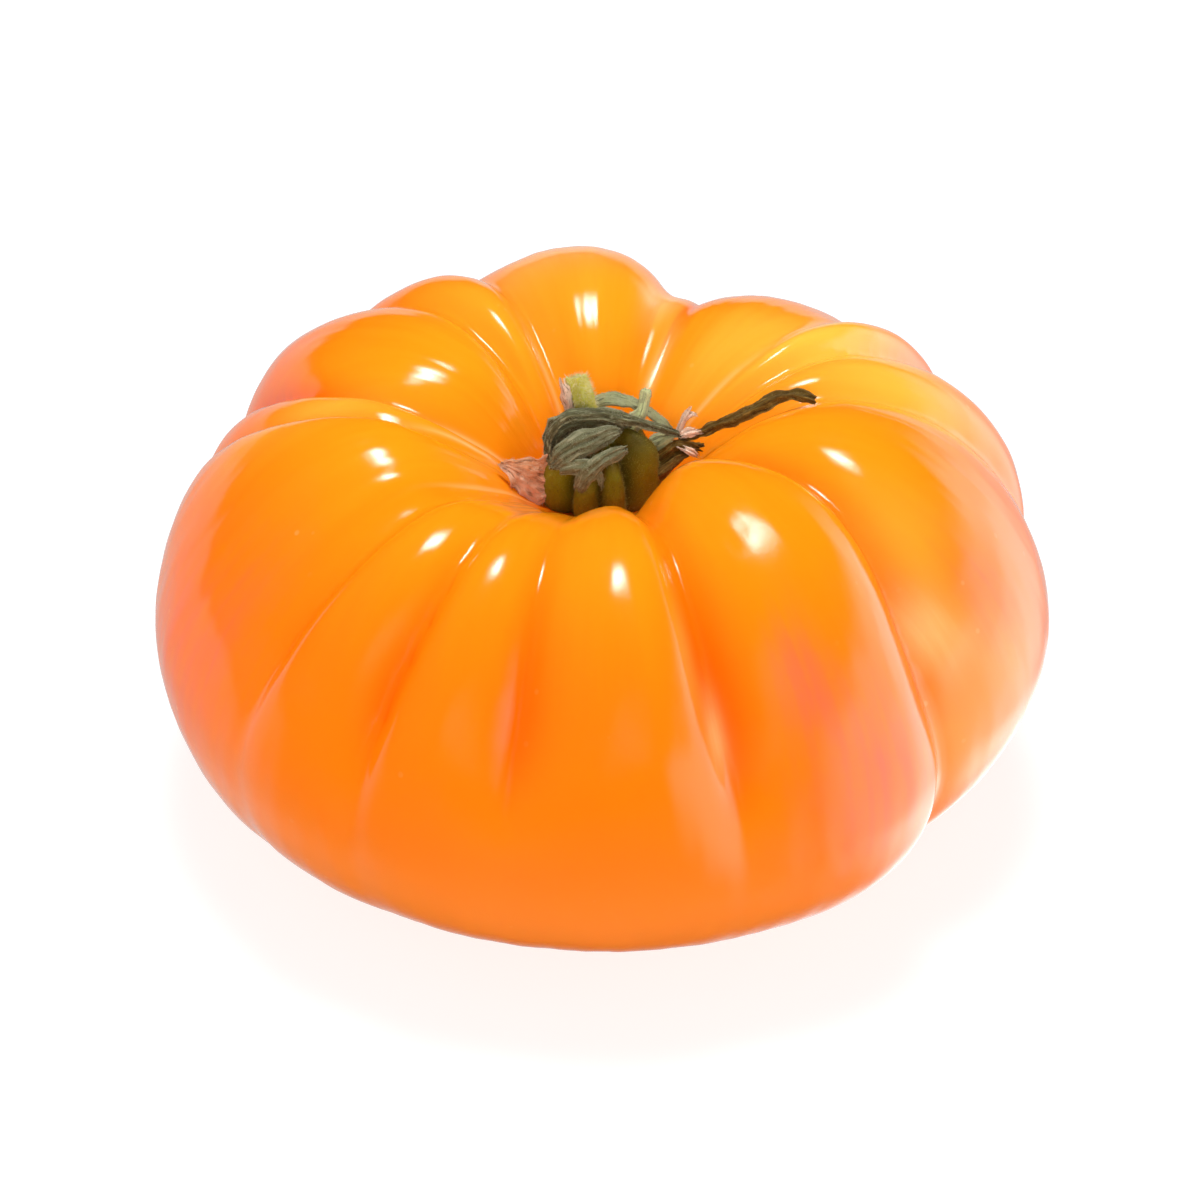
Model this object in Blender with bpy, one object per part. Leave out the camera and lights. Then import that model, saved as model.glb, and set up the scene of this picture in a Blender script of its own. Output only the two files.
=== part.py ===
"""Ribbed orange beefsteak tomato lying on its base, with the dried calyx and a stub of its stalk.

+Z is up and the origin is the middle of the flat spot that the fruit rests on. The fruit's stalk
end is on top. -Y is the front. Lengths in the tables below are millimetres, angles are degrees
counted anticlockwise from +X, seen from above.
"""
import math

import bmesh
import bpy
import numpy as np

MM = 0.001

# ---------------------------------------------------------------- the fruit
FRUIT_DEPTH_RATIO = 0.94      # front-to-back size against side-to-side size
FLAT_SPOT_RADIUS = 10.0       # the small flat that the fruit rests on
FRUIT_COLUMNS = 118           # faces round the girth, shared among the lobes
FRUIT_RINGS = 34
FRUIT_CREASE_SOFTNESS = 0.8   # distance over which a crease is rounded
FRUIT_RIB_POWER = 0.62        # below 1, lobes are full and creases narrow
WIDEST_SOFTENING = 4.0        # degrees, the most a crease is rounded over where it is near the axis

# Outline of a half section from the stalk's hollow over the shoulder to the base: radius, height.
FRUIT_PROFILE = [
    (0, 44.5), (6, 44.5), (9.5, 46.4), (14, 50.9), (20, 55.1), (27, 57.0), (35, 55.0), (44.4, 48.2),
    (51.8, 38.4), (54.8, 28), (53.1, 18.6), (47.8, 10.7), (37.7, 4.4), (26, 0.9), (18, 0.1),
    (FLAT_SPOT_RADIUS, 0), (0, 0),
]

# One crease and the lobe that follows it anticlockwise. The crease has an angle at the rim of
# the hollow, an angle at the girth, a depth at the rim, a depth at the girth and how far down
# the section it reaches (1 is the middle of the base). The lobe has what it stands out by over
# the hollow, at the shoulder, at the girth and below the girth, and a lean: below 1 its ridge
# is near its first crease.
FRUIT_LOBES = [
    # rim, girth, depth, depth, reach,   hollow, shoulder, girth, below, lean
    (7, 13, 3.0, 2.0, 0.90,              0.0, 0.0, 2.0, 0.4, 1.0),
    (23, 34, 3.2, 2.6, 0.85,             0.0, 0.8, 2.4, 0.4, 1.0),
    (32, 45, 0.5, 0.2, 0.55,             0.0, -0.6, 0.6, 0.4, 0.6),
    (69, 70, 4.0, 6.0, 0.80,             0.0, -2.8, -3.2, 0.4, 1.0),
    (74, 79, 3.0, 4.4, 0.80,             0.0, 2.4, 0.7, 0.4, 1.05),
    (112, 114, 3.6, 0.2, 0.80,           0.0, 1.4, 1.4, 0.4, 1.15),
    (131, 134, 3.0, 0.9, 0.80,           2.0, 0.7, 2.5, 0.4, 0.7),
    (177, 152, 3.5, 4.6, 0.85,           0.0, -0.3, -0.5, 0.4, 1.0),
    (192, 166, 3.0, 3.0, 0.85,           -1.0, 2.2, -0.4, 1.4, 0.6),
    (212, 196, 0.7, 0.3, 0.50,           -1.6, -1.2, -0.2, 0.9, 1.0),
    (227, 220, 2.8, 2.6, 0.52,           -1.6, 0.4, 1.0, 0.0, 0.75),
    (244, 239, 2.2, 4.2, 0.54,           -1.0, 0.2, 0.8, -0.2, 0.7),
    (257, 258, 2.0, 4.0, 0.54,           0.0, 1.0, 0.8, -0.2, 1.25),
    (285, 287, 3.5, 5.4, 0.55,           2.5, 2.3, 0.8, 0.2, 1.0),
    (333, 320, 4.0, 5.5, 0.92,           0.5, 1.1, 0.3, -1.9, 1.0),
]

# ---------------------------------------------------------------- the calyx's fleshy hub
HUB_COLUMNS = 66
HUB_RINGS = 13
HUB_CREASE_SOFTNESS = 0.3
HUB_RIB_POWER = 0.7
HUB_PROFILE = [
    (0, 52.7), (2.4, 52.6), (4.2, 52.1), (5.8, 50.9), (6.9, 49.0), (7.0, 47.4), (5.9, 46.0),
    (4.0, 45.3), (0, 45.3),
]
# The same ten values as in FRUIT_LOBES, for the swollen feet of the sepals round the hub.
HUB_LOBES = [
    (18, 18, 1.2, 1.4, 0.95,             0.0, 0.3, -0.3, 0.0, 1.0),
    (62, 62, 1.2, 1.4, 0.95,             0.0, -0.2, -0.3, 0.0, 1.0),
    (106, 106, 1.2, 1.4, 0.95,           0.0, 0.2, -0.3, 0.0, 1.0),
    (152, 152, 1.2, 1.4, 0.95,           0.0, 0.0, -0.3, 0.0, 1.0),
    (190, 188, 1.2, 1.2, 0.95,           0.0, 1.2, 1.1, 1.2, 1.0),
    (237, 237, 1.4, 2.0, 0.95,           -0.6, -1.0, 1.0, 1.2, 1.0),
    (266, 268, 1.4, 2.0, 0.95,           0.0, 0.8, 0.8, 1.0, 1.0),
    (298, 298, 1.4, 2.2, 0.95,           1.2, 2.5, 0.4, 1.2, 1.1),
    (352, 352, 1.2, 1.4, 0.95,           0.3, 0.3, -0.2, 0.0, 1.0),
]

# ---------------------------------------------------------------- stalk and sepals
STALK_SIDES = 14
BLADE_COLUMNS = 6             # faces across a sepal
BLADE_THICKNESS = 0.7         # dried sepal, never under 0.6

# Stalk stub: axis points, and the radius at each. Its broken end slants by this rise for each
# millimetre across, and faces this way.
STALK_AXIS = [(-1.3, 1.3, 53.4), (-1.8, 1.5, 54.6), (-2.3, 1.8, 56.4), (-2.8, 2.1, 58.1), (-3.1, 2.3, 59.2)]
STALK_RADII = [1.7, 1.45, 1.35, 1.38, 1.3]
STALK_END_SLANT = 0.55
STALK_END_FACES = 110.0

# A sepal's stations: point on the middle line, half width, direction that its outer face looks
# in, and how far its edges curl back, as a share of the half width.
SEPALS = {
    "sepal_hood": [
        ((-6.6, -2.9, 52.4), 0.7, (-1.0, -0.2, 0.4), 0.30),
        ((-6.4, -2.9, 53.7), 0.75, (-1.0, -0.2, 0.5), 0.40),
        ((-5.5, -3.0, 56.1), 0.8, (-0.9, -0.2, 0.6), 0.45),
        ((-3.7, -3.0, 57.5), 0.8, (-0.5, -0.2, 1.0), 0.45),
        ((-1.1, -2.7, 57.6), 0.8, (-0.1, -0.3, 1.0), 0.45),
        ((1.5, -2.6, 57.0), 0.75, (0.1, -0.3, 1.0), 0.40),
        ((4.2, -2.0, 55.8), 0.7, (0.3, -0.3, 1.0), 0.35),
        ((7.5, -1.3, 54.1), 0.6, (0.4, -0.3, 1.0), 0.30),
        ((9.6, -0.7, 52.9), 0.45, (0.4, -0.3, 1.0), 0.20),
    ],
    "sepal_upper_fold": [
        ((-5.8, -6.1, 52.7), 0.6, (-0.5, -0.8, 0.5), 0.25),
        ((-4.8, -6.3, 54.0), 1.2, (-0.3, -0.8, 0.5), 0.35),
        ((-2.8, -6.0, 55.2), 1.5, (-0.1, -0.8, 0.6), 0.40),
        ((-0.6, -5.6, 56.0), 1.4, (0.1, -0.7, 0.7), 0.40),
        ((1.5, -5.0, 56.6), 0.9, (0.3, -0.6, 0.7), 0.35),
    ],
    "sepal_lower_fold": [
        ((-2.4, -8.0, 51.2), 0.8, (-0.3, -1.0, 0.3), 0.25),
        ((-1.9, -8.0, 52.3), 0.95, (-0.2, -0.9, 0.5), 0.35),
        ((-0.9, -8.1, 53.5), 1.0, (0.0, -0.9, 0.5), 0.40),
        ((0.3, -8.0, 54.6), 0.95, (0.1, -0.8, 0.6), 0.40),
        ((1.7, -7.5, 55.3), 0.8, (0.2, -0.7, 0.7), 0.35),
        ((2.8, -7.0, 55.3), 0.5, (0.3, -0.6, 0.7), 0.30),
    ],
    "sepal_rear_arch": [
        ((-3.0, 5.5, 51.7), 0.8, (-0.6, 0.3, 0.8), 0.20),
        ((-1.8, 5.5, 53.0), 0.95, (-0.3, 0.2, 1.0), 0.30),
        ((0.0, 5.2, 54.1), 1.0, (-0.1, 0.0, 1.0), 0.35),
        ((2.0, 4.8, 54.5), 1.0, (0.2, 0.0, 1.0), 0.35),
        ((4.4, 4.2, 54.0), 0.9, (0.5, 0.0, 1.0), 0.35),
        ((6.6, 3.7, 52.4), 0.8, (0.7, 0.0, 1.0), 0.30),
        ((8.4, 3.2, 51.1), 0.6, (0.7, 0.0, 1.0), 0.20),
    ],
    "sepal_upright": [
        ((3.7, 1.0, 53.7), 1.0, (-0.2, -1.0, 0.3), 0.30),
        ((4.4, 1.1, 54.4), 0.85, (-0.2, -1.0, 0.3), 0.30),
        ((4.8, 1.3, 55.3), 0.65, (-0.2, -1.0, 0.3), 0.30),
        ((5.05, 1.6, 56.4), 0.6, (-0.2, -1.0, 0.3), 0.20),
        ((5.2, 1.8, 57.6), 0.65, (-0.2, -1.0, 0.3), 0.10),
    ],
    "sepal_long": [
        ((10.5, 0.3, 52.1), 0.45, (0.0, -0.9, 0.5), 0.20),
        ((12.2, 0.9, 52.4), 0.65, (0.1, -0.8, 0.6), 0.35),
        ((14.4, 0.7, 53.8), 0.65, (-0.2, -0.6, 0.8), 0.35),
        ((17.2, 0.5, 55.4), 0.7, (-0.2, -0.4, 0.9), 0.40),
        ((19.8, 0.2, 57.3), 0.65, (-0.1, -0.4, 0.9), 0.40),
        ((21.8, 0.0, 58.3), 0.6, (0.1, -0.3, 1.0), 0.35),
        ((23.6, -0.2, 58.4), 0.6, (0.2, -0.3, 1.0), 0.25),
        ((25.1, -0.4, 57.9), 0.5, (0.3, -0.3, 1.0), 0.10),
    ],
    "sepal_right_twist": [
        ((7.4, -1.7, 49.3), 1.2, (0.5, -0.7, 0.4), 0.20),
        ((9.0, -1.2, 50.4), 1.1, (0.3, -0.8, 0.5), 0.30),
        ((10.3, -1.1, 50.9), 0.8, (0.0, -0.9, 0.4), 0.30),
        ((11.4, -1.1, 51.2), 0.45, (-0.2, -0.9, 0.3), 0.10),
    ],
    "sepal_papery": [
        ((-8.0, -5.8, 50.6), 2.9, (-0.3, -0.9, 0.5), 0.10),
        ((-8.9, -5.6, 50.9), 2.4, (-0.1, -0.9, 0.5), 0.10),
        ((-9.7, -5.4, 51.2), 1.7, (0.0, -0.9, 0.5), 0.12),
        ((-10.9, -5.1, 51.6), 0.9, (0.1, -0.9, 0.5), 0.12),
        ((-12.0, -5.0, 52.0), 0.4, (0.1, -0.9, 0.5), 0.05),
    ],
}
SEPAL_RINGS_PER_SPAN = 4
SEPAL_COLOURS = {
    "sepal_hood": (0.060, 0.075, 0.030),
    "sepal_upper_fold": (0.120, 0.150, 0.090),
    "sepal_lower_fold": (0.130, 0.155, 0.085),
    "sepal_rear_arch": (0.090, 0.120, 0.065),
    "sepal_upright": (0.150, 0.190, 0.090),
    "sepal_long": (0.110, 0.070, 0.022),
    "sepal_right_twist": (0.075, 0.065, 0.035),
    "sepal_papery": (0.520, 0.300, 0.180),
}


def smooth_step(low, high, value):
    """0 below low, 1 above high, and an S between."""
    t = np.clip((value - low) / (high - low), 0.0, 1.0)
    return t * t * (3.0 - 2.0 * t)


def turn_between(first, second):
    """Signed angle in degrees from the first direction to the second, the short way round."""
    return (second - first + 180.0) % 360.0 - 180.0


def curve_through(points, count):
    """Centripetal Catmull-Rom curve through the points, as count samples at even length."""
    p = np.array(points, float)
    p = np.vstack([2 * p[0] - p[1], p, 2 * p[-1] - p[-2]])
    pieces = []
    for i in range(1, len(p) - 2):
        a, b, c, d = p[i - 1:i + 3]
        ta = 0.0
        tb = ta + np.linalg.norm(b - a) ** 0.5
        tc = tb + np.linalg.norm(c - b) ** 0.5
        td = tc + np.linalg.norm(d - c) ** 0.5
        t = np.linspace(tb, tc, 60, endpoint=False)[:, None]
        ab = (tb - t) / (tb - ta) * a + (t - ta) / (tb - ta) * b
        bc = (tc - t) / (tc - tb) * b + (t - tb) / (tc - tb) * c
        cd = (td - t) / (td - tc) * c + (t - tc) / (td - tc) * d
        abc = (tc - t) / (tc - ta) * ab + (t - ta) / (tc - ta) * bc
        bcd = (td - t) / (td - tb) * bc + (t - tb) / (td - tb) * cd
        pieces.append((tc - t) / (tc - tb) * abc + (t - tb) / (tc - tb) * bcd)
    curve = np.vstack(pieces + [p[-2][None]])
    length = np.r_[0, np.cumsum(np.linalg.norm(np.diff(curve, axis=0), axis=1))]
    even = np.linspace(0, length[-1], count)
    return np.stack([np.interp(even, length, curve[:, k]) for k in range(p.shape[1])], 1)


def crease_angle(lobe, s):
    """Angle of a lobe's crease at the place s along the section."""
    return lobe[0] + turn_between(lobe[0], lobe[1]) * float(smooth_step(0.12, 0.46, s))


def crease_depth(lobe, s):
    """Depth of a lobe's crease at the place s: none at the axis, and fading out below."""
    depth = lobe[2] + (lobe[3] - lobe[2]) * smooth_step(0.16, 0.38, s)
    return depth * smooth_step(0.04, 0.17, s) * (1.0 - smooth_step(0.38, lobe[4], s))


def relief_round(lobes, s, power, spread):
    """How far the skin stands off the plain section at the place s, for each half degree.

    Creases and ridges are rounded over the given spread in degrees.
    """
    angles = np.arange(720) * 0.5
    relief = np.zeros(720)
    hollow = math.exp(-((s - 0.15) / 0.06) ** 2)
    shoulder = math.exp(-((s - 0.27) / 0.13) ** 2)
    girth = math.exp(-((s - 0.46) / 0.15) ** 2)
    below = math.exp(-((s - 0.68) / 0.12) ** 2)
    for k, lobe in enumerate(lobes):
        after = lobes[(k + 1) % len(lobes)]
        start = crease_angle(lobe, s)
        width = (crease_angle(after, s) - start) % 360.0
        across = ((angles - start) % 360.0) / width
        inside = across < 1.0
        lean = across[inside] ** lobe[9]
        hump = np.clip(4.0 * lean * (1.0 - lean), 0.0, 1.0)
        depth = crease_depth(lobe, s) * (1.0 - lean) + crease_depth(after, s) * lean
        swell = lobe[5] * hollow + lobe[6] * shoulder + lobe[7] * girth + lobe[8] * below
        relief[inside] = -depth * (1.0 - hump ** power) + swell * hump ** 0.8
    offsets = np.arange(-20, 21)
    weights = np.exp(-0.5 * (offsets * 0.5 / spread) ** 2)
    weights /= weights.sum()
    return sum(w * np.roll(relief, o) for w, o in zip(weights, offsets))


def lobed_body(name, profile, lobes, columns, rings, power, softness, depth_ratio, flat_radius):
    """Closed body turned from a section and raised into lobes, as an object.

    Each ring has fewer faces where it is small. The top closes in a point on the axis and the
    bottom in one flat face of the given radius.
    """
    section = curve_through([(-profile[1][0], profile[1][1])] + profile
                            + [(-profile[-2][0], profile[-2][1])], 3000)
    first = int(np.argmax(section[:, 0] >= 0.0))
    last = len(section) - int(np.argmax(section[::-1, 0] >= 0.0))
    section = section[first:last]
    places = np.linspace(0.0, 1.0, len(section))
    slope = np.gradient(section, axis=0)
    outward = np.stack([-slope[:, 1], slope[:, 0]], 1)
    outward /= np.linalg.norm(outward, axis=1)[:, None]
    # Where the flat spot's edge is along the section, counted from the top.
    flat_place = float(places[len(places) // 2:][section[len(places) // 2:, 0] <= flat_radius][0])
    # Rings are closer together over the shoulder, where the lobes turn most.
    even = np.linspace(0.0, 1.0, rings)
    ring_places = 0.035 + (flat_place - 0.035) * (even ** 1.12)
    half_girth = max(r for r, _ in profile)

    mesh = bmesh.new()
    ring_verts = []
    for ring, s in enumerate(ring_places):
        r0, z0 = (np.interp(s, places, section[:, k]) for k in range(2))
        nr, nz = (np.interp(s, places, outward[:, k]) for k in range(2))
        spread = min(WIDEST_SOFTENING, math.degrees(softness / (r0 + 1.0)))
        relief = relief_round(lobes, s, power, spread)
        crowd = min(1.0, max(0.22, 1.3 * r0 / half_girth))
        verts_of_lobes = []
        for k, lobe in enumerate(lobes):
            start = crease_angle(lobe, s)
            width = (crease_angle(lobes[(k + 1) % len(lobes)], s) - start) % 360.0
            full = max(4.0, columns * (0.5 / len(lobes) + 0.5 * width / 360.0))
            steps = max(1, int(round(full * crowd)))
            row = []
            for j in range(steps):
                across = j / steps
                across -= 0.07 * math.sin(2.0 * math.pi * across)
                angle = start + width * across
                off = np.interp(angle % 360.0, np.arange(721) * 0.5, np.r_[relief, relief[0]])
                r, z = r0 + nr * off, max(profile[-1][1], z0 + nz * off)
                if ring == rings - 1:
                    r, z = r0, profile[-1][1]
                a = math.radians(angle)
                vert = mesh.verts.new((r * math.cos(a) * MM, r * math.sin(a) * depth_ratio * MM, z * MM))
                row.append((across, vert))
            verts_of_lobes.append(row)
        for k, row in enumerate(verts_of_lobes):
            row.append((1.0, verts_of_lobes[(k + 1) % len(lobes)][0][1]))
        ring_verts.append(verts_of_lobes)

    for upper, lower in zip(ring_verts, ring_verts[1:]):
        for row_a, row_b in zip(upper, lower):
            zip_rows(mesh, row_a, row_b)
    tip = mesh.verts.new((0.0, 0.0, profile[0][1] * MM))
    for row in ring_verts[0]:
        for (_, a), (_, b) in zip(row, row[1:]):
            mesh.faces.new((tip, a, b))
    rim = [vert for row in ring_verts[-1] for _, vert in row[:-1]]
    mesh.faces.new(list(reversed(rim)))
    return finish(mesh, name)


def zip_rows(mesh, upper, lower):
    """Triangles between two rows of (place, vertex) whose ends match, nearest places first."""
    i = j = 0
    while i < len(upper) - 1 or j < len(lower) - 1:
        down = j >= len(lower) - 1
        if not down and i < len(upper) - 1:
            down = upper[i + 1][0] + upper[i][0] < lower[j + 1][0] + lower[j][0]
        if down:
            mesh.faces.new((upper[i][1], lower[j][1], upper[i + 1][1]))
            i += 1
        else:
            mesh.faces.new((upper[i][1], lower[j][1], lower[j + 1][1]))
            j += 1


def sepal(name, stations):
    """Curled closed blade along the stations, split into triangles alike on both faces."""
    count = SEPAL_RINGS_PER_SPAN * (len(stations) - 1) + 1
    table = [tuple(point) + (half,) + tuple(facing) + (curl,) for point, half, facing, curl in stations]
    rows = blend_stations(table, count)
    centre, half, facing, curl = rows[:, :3], rows[:, 3], rows[:, 4:7], rows[:, 7]
    along = np.gradient(centre, axis=0)
    along /= np.linalg.norm(along, axis=1)[:, None]
    facing = facing - (facing * along).sum(1)[:, None] * along
    facing /= np.linalg.norm(facing, axis=1)[:, None]
    side = np.cross(along, facing)
    mesh = bmesh.new()
    outer, inner = [], []
    for k in range(count):
        rings = ([], [])
        for j in range(BLADE_COLUMNS + 1):
            v = 2.0 * j / BLADE_COLUMNS - 1.0
            drop = curl[k] * half[k] * v * v
            tilt = 2.0 * curl[k] * v
            normal = facing[k] + side[k] * tilt
            normal /= np.linalg.norm(normal)
            middle = centre[k] + side[k] * v * half[k] - facing[k] * drop
            for ring, sign in zip(rings, (1.0, -1.0)):
                ring.append(mesh.verts.new((middle + normal * sign * BLADE_THICKNESS / 2) * MM))
        outer.append(rings[0])
        inner.append(rings[1])
    for k in range(count - 1):
        for j in range(BLADE_COLUMNS):
            for face, flip in ((outer, False), (inner, True)):
                a, b = face[k][j], face[k][j + 1]
                c, d = face[k + 1][j + 1], face[k + 1][j]
                for tri in ((a, b, c), (a, c, d)):
                    mesh.faces.new(tri[::-1] if flip else tri)
        for j, flip in ((0, False), (BLADE_COLUMNS, True)):
            a, b, c, d = outer[k][j], outer[k + 1][j], inner[k + 1][j], inner[k][j]
            for tri in ((a, b, c), (a, c, d)):
                mesh.faces.new(tri[::-1] if flip else tri)
    for k, flip in ((0, True), (count - 1, False)):
        for j in range(BLADE_COLUMNS):
            a, b, c, d = outer[k][j], outer[k][j + 1], inner[k][j + 1], inner[k][j]
            for tri in ((a, b, c), (a, c, d)):
                mesh.faces.new(tri[::-1] if flip else tri)
    return finish(mesh, name)


def blend_stations(table, count):
    """Smooth rows between hand-set rows, evenly spaced from row to row."""
    table = np.array(table, float)
    padded = np.vstack([2 * table[0] - table[1], table, 2 * table[-1] - table[-2]])
    rows = []
    for u in np.linspace(0.0, len(table) - 1.0, count):
        k = min(int(u), len(table) - 2)
        t = u - k
        a, b, c, d = padded[k:k + 4]
        rows.append(0.5 * ((2 * b) + (c - a) * t + (2 * a - 5 * b + 4 * c - d) * t * t
                           + (3 * b - a - 3 * c + d) * t * t * t))
    return np.array(rows)


def stalk(name, axis, radii):
    """Stub of the stalk: a tube with a swollen foot and an oblique broken end."""
    rows = blend_stations([tuple(p) + (r,) for p, r in zip(axis, radii)], 9)
    mesh = bmesh.new()
    rings = []
    for k, (x, y, z, radius) in enumerate(rows):
        slant = STALK_END_SLANT * (k / (len(rows) - 1)) ** 2
        ring = []
        for j in range(STALK_SIDES):
            a = 2.0 * math.pi * j / STALK_SIDES
            r = radius * (1.0 + 0.05 * math.sin(3.0 * a + 0.4 * k))
            rise = slant * r * math.cos(a - math.radians(STALK_END_FACES + 180.0))
            ring.append(mesh.verts.new(((x + r * math.cos(a)) * MM, (y + r * math.sin(a)) * MM,
                                        (z + rise) * MM)))
        rings.append(ring)
    for lower, upper in zip(rings, rings[1:]):
        for j in range(STALK_SIDES):
            k = (j + 1) % STALK_SIDES
            mesh.faces.new((lower[j], lower[k], upper[k]))
            mesh.faces.new((lower[j], upper[k], upper[j]))
    for ring in (rings[0], rings[-1]):
        middle = mesh.verts.new([sum(v.co[i] for v in ring) / STALK_SIDES for i in range(3)])
        for j in range(STALK_SIDES):
            mesh.faces.new((middle, ring[j], ring[(j + 1) % STALK_SIDES]))
    return finish(mesh, name)


def finish(mesh, name):
    """The finished object: faces out, smooth shading, linked in the scene."""
    bmesh.ops.recalc_face_normals(mesh, faces=mesh.faces)
    data = bpy.data.meshes.new(name)
    mesh.to_mesh(data)
    mesh.free()
    for polygon in data.polygons:
        polygon.use_smooth = True
    data.set_sharp_from_angle(angle=math.radians(50))
    obj = bpy.data.objects.new(name, data)
    bpy.context.scene.collection.objects.link(obj)
    return obj


def paint(obj, colour, roughness):
    """Give the object a Principled material of its own."""
    material = bpy.data.materials.new(obj.name)
    material.use_nodes = True
    shader = material.node_tree.nodes["Principled BSDF"]
    shader.inputs["Base Color"].default_value = (*colour, 1.0)
    shader.inputs["Roughness"].default_value = roughness
    shader.inputs["Metallic"].default_value = 0.0
    material.diffuse_color = (*colour, 1.0)
    obj.data.materials.append(material)


def main():
    for obj in list(bpy.data.objects):
        bpy.data.objects.remove(obj, do_unlink=True)
    fruit = lobed_body("tomato_fruit", FRUIT_PROFILE, FRUIT_LOBES, FRUIT_COLUMNS, FRUIT_RINGS,
                       FRUIT_RIB_POWER, FRUIT_CREASE_SOFTNESS, FRUIT_DEPTH_RATIO, FLAT_SPOT_RADIUS)
    paint(fruit, (0.95, 0.30, 0.01), 0.22)
    hub = lobed_body("calyx_hub", HUB_PROFILE, HUB_LOBES, HUB_COLUMNS, HUB_RINGS,
                     HUB_RIB_POWER, HUB_CREASE_SOFTNESS, 1.0, 3.0)
    paint(hub, (0.16, 0.15, 0.03), 0.6)
    stub = stalk("stalk_stub", STALK_AXIS, STALK_RADII)
    paint(stub, (0.33, 0.33, 0.10), 0.7)
    for name, stations in SEPALS.items():
        paint(sepal(name, stations), SEPAL_COLOURS[name], 0.8)


if __name__ == "__main__":
    main()
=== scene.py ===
"""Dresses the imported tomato: its glossy ribbed skin, the fleshy calyx hub, the stub of the stalk,
the dried sepals and the fine hairs on them.

The file is laid out as an add-on with one operator for each piece, and it is run as a script.
Lengths in the tables are millimetres and angles are degrees counted anticlockwise from +X, seen
from above. -Y is the front and +Z is up.
"""
import math

import bmesh
import bpy
import numpy as np
from bpy.props import FloatProperty, FloatVectorProperty, IntProperty, PointerProperty
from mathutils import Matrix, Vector, noise


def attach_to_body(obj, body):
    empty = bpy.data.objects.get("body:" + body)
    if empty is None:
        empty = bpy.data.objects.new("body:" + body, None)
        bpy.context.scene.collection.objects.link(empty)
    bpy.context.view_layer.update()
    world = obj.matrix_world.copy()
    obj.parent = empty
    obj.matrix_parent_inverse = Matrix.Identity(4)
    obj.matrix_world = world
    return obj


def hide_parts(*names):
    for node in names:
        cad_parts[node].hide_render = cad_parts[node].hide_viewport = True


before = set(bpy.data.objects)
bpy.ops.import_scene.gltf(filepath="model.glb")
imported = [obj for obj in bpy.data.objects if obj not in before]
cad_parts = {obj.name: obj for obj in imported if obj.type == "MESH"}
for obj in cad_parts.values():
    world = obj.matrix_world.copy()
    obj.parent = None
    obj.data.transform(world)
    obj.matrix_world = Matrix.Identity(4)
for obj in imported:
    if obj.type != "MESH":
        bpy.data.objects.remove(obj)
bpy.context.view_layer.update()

bl_info = {
    "name": "Ribbed tomato",
    "version": (1, 0, 0),
    "blender": (4, 5, 0),
    "location": "3D View > Sidebar > Tomato",
    "description": "Skin, calyx, sepals and hairs of a ribbed beefsteak tomato",
    "category": "Object",
}

MM = 0.001

# ---------------------------------------------------------------- the fruit's form
# Outline of a half section, from the stalk's hollow over the shoulder to the base: radius, height.
FRUIT_PROFILE = [
    (0, 44.5), (6, 44.5), (9.5, 46.4), (14, 50.9), (20, 55.1), (27, 57.0), (35, 55.0), (44.4, 48.2),
    (51.8, 38.4), (54.8, 28), (53.1, 18.6), (47.8, 10.7), (37.7, 4.4), (26, 0.9), (18, 0.1), (10, 0),
    (0, 0),
]
LOBE_VALUES = ("rim", "girth", "rim_depth", "girth_depth", "reach",
               "hollow_swell", "shoulder_swell", "girth_swell", "below_swell", "lean")
# One crease and the lobe that follows it anticlockwise, with the values named above: the
# crease's angle at the rim and at the girth, its depth there and how far down it reaches, then
# what the lobe stands out by at four heights, and a lean that puts its ridge off the middle.
FRUIT_LOBES = [
    # rim, girth, depth, depth, reach,   hollow, shoulder, girth, below, lean
    (7, 13, 3.0, 2.0, 0.90,              0.0, 0.0, 2.0, 0.4, 1.0),
    (23, 34, 3.2, 2.6, 0.85,             0.0, 0.8, 2.4, 0.4, 1.0),
    (32, 45, 0.5, 0.2, 0.55,             0.0, -0.6, 0.6, 0.4, 0.6),
    (69, 70, 4.0, 6.0, 0.80,             0.0, -2.8, -3.2, 0.4, 1.0),
    (74, 79, 3.0, 4.4, 0.80,             0.0, 2.4, 0.7, 0.4, 1.05),
    (112, 114, 3.6, 0.2, 0.80,           0.0, 1.4, 1.4, 0.4, 1.15),
    (131, 134, 3.0, 0.9, 0.80,           2.0, 0.7, 2.5, 0.4, 0.7),
    (177, 152, 3.5, 4.6, 0.85,           0.0, -0.3, -0.5, 0.4, 1.0),
    (192, 166, 3.0, 3.0, 0.85,           -1.0, 2.2, -0.4, 1.4, 0.6),
    (212, 196, 0.7, 0.3, 0.50,           -1.6, -1.2, -0.2, 0.9, 1.0),
    (227, 220, 2.8, 2.6, 0.52,           -1.6, 0.4, 1.0, 0.0, 0.75),
    (244, 239, 2.2, 4.2, 0.54,           -1.0, 0.2, 0.8, -0.2, 0.7),
    (257, 258, 2.0, 4.0, 0.54,           0.0, 1.0, 0.8, -0.2, 1.25),
    (285, 287, 3.5, 5.4, 0.55,           2.5, 2.3, 0.8, 0.2, 1.0),
    (333, 320, 4.0, 5.5, 0.92,           0.5, 1.1, 0.3, -1.9, 1.0),
]
# Small dents in the skin: angle, place from the top (0) to the base (1), half width in degrees,
# half length as a place, depth.
FRUIT_DENTS = [
    (251.0, 0.325, 1.6, 0.022, 0.30),
    (249.2, 0.345, 1.3, 0.018, 0.22),
    (300.0, 0.245, 1.8, 0.010, 0.12),
    (296.5, 0.252, 1.5, 0.012, 0.12),
]

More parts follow.
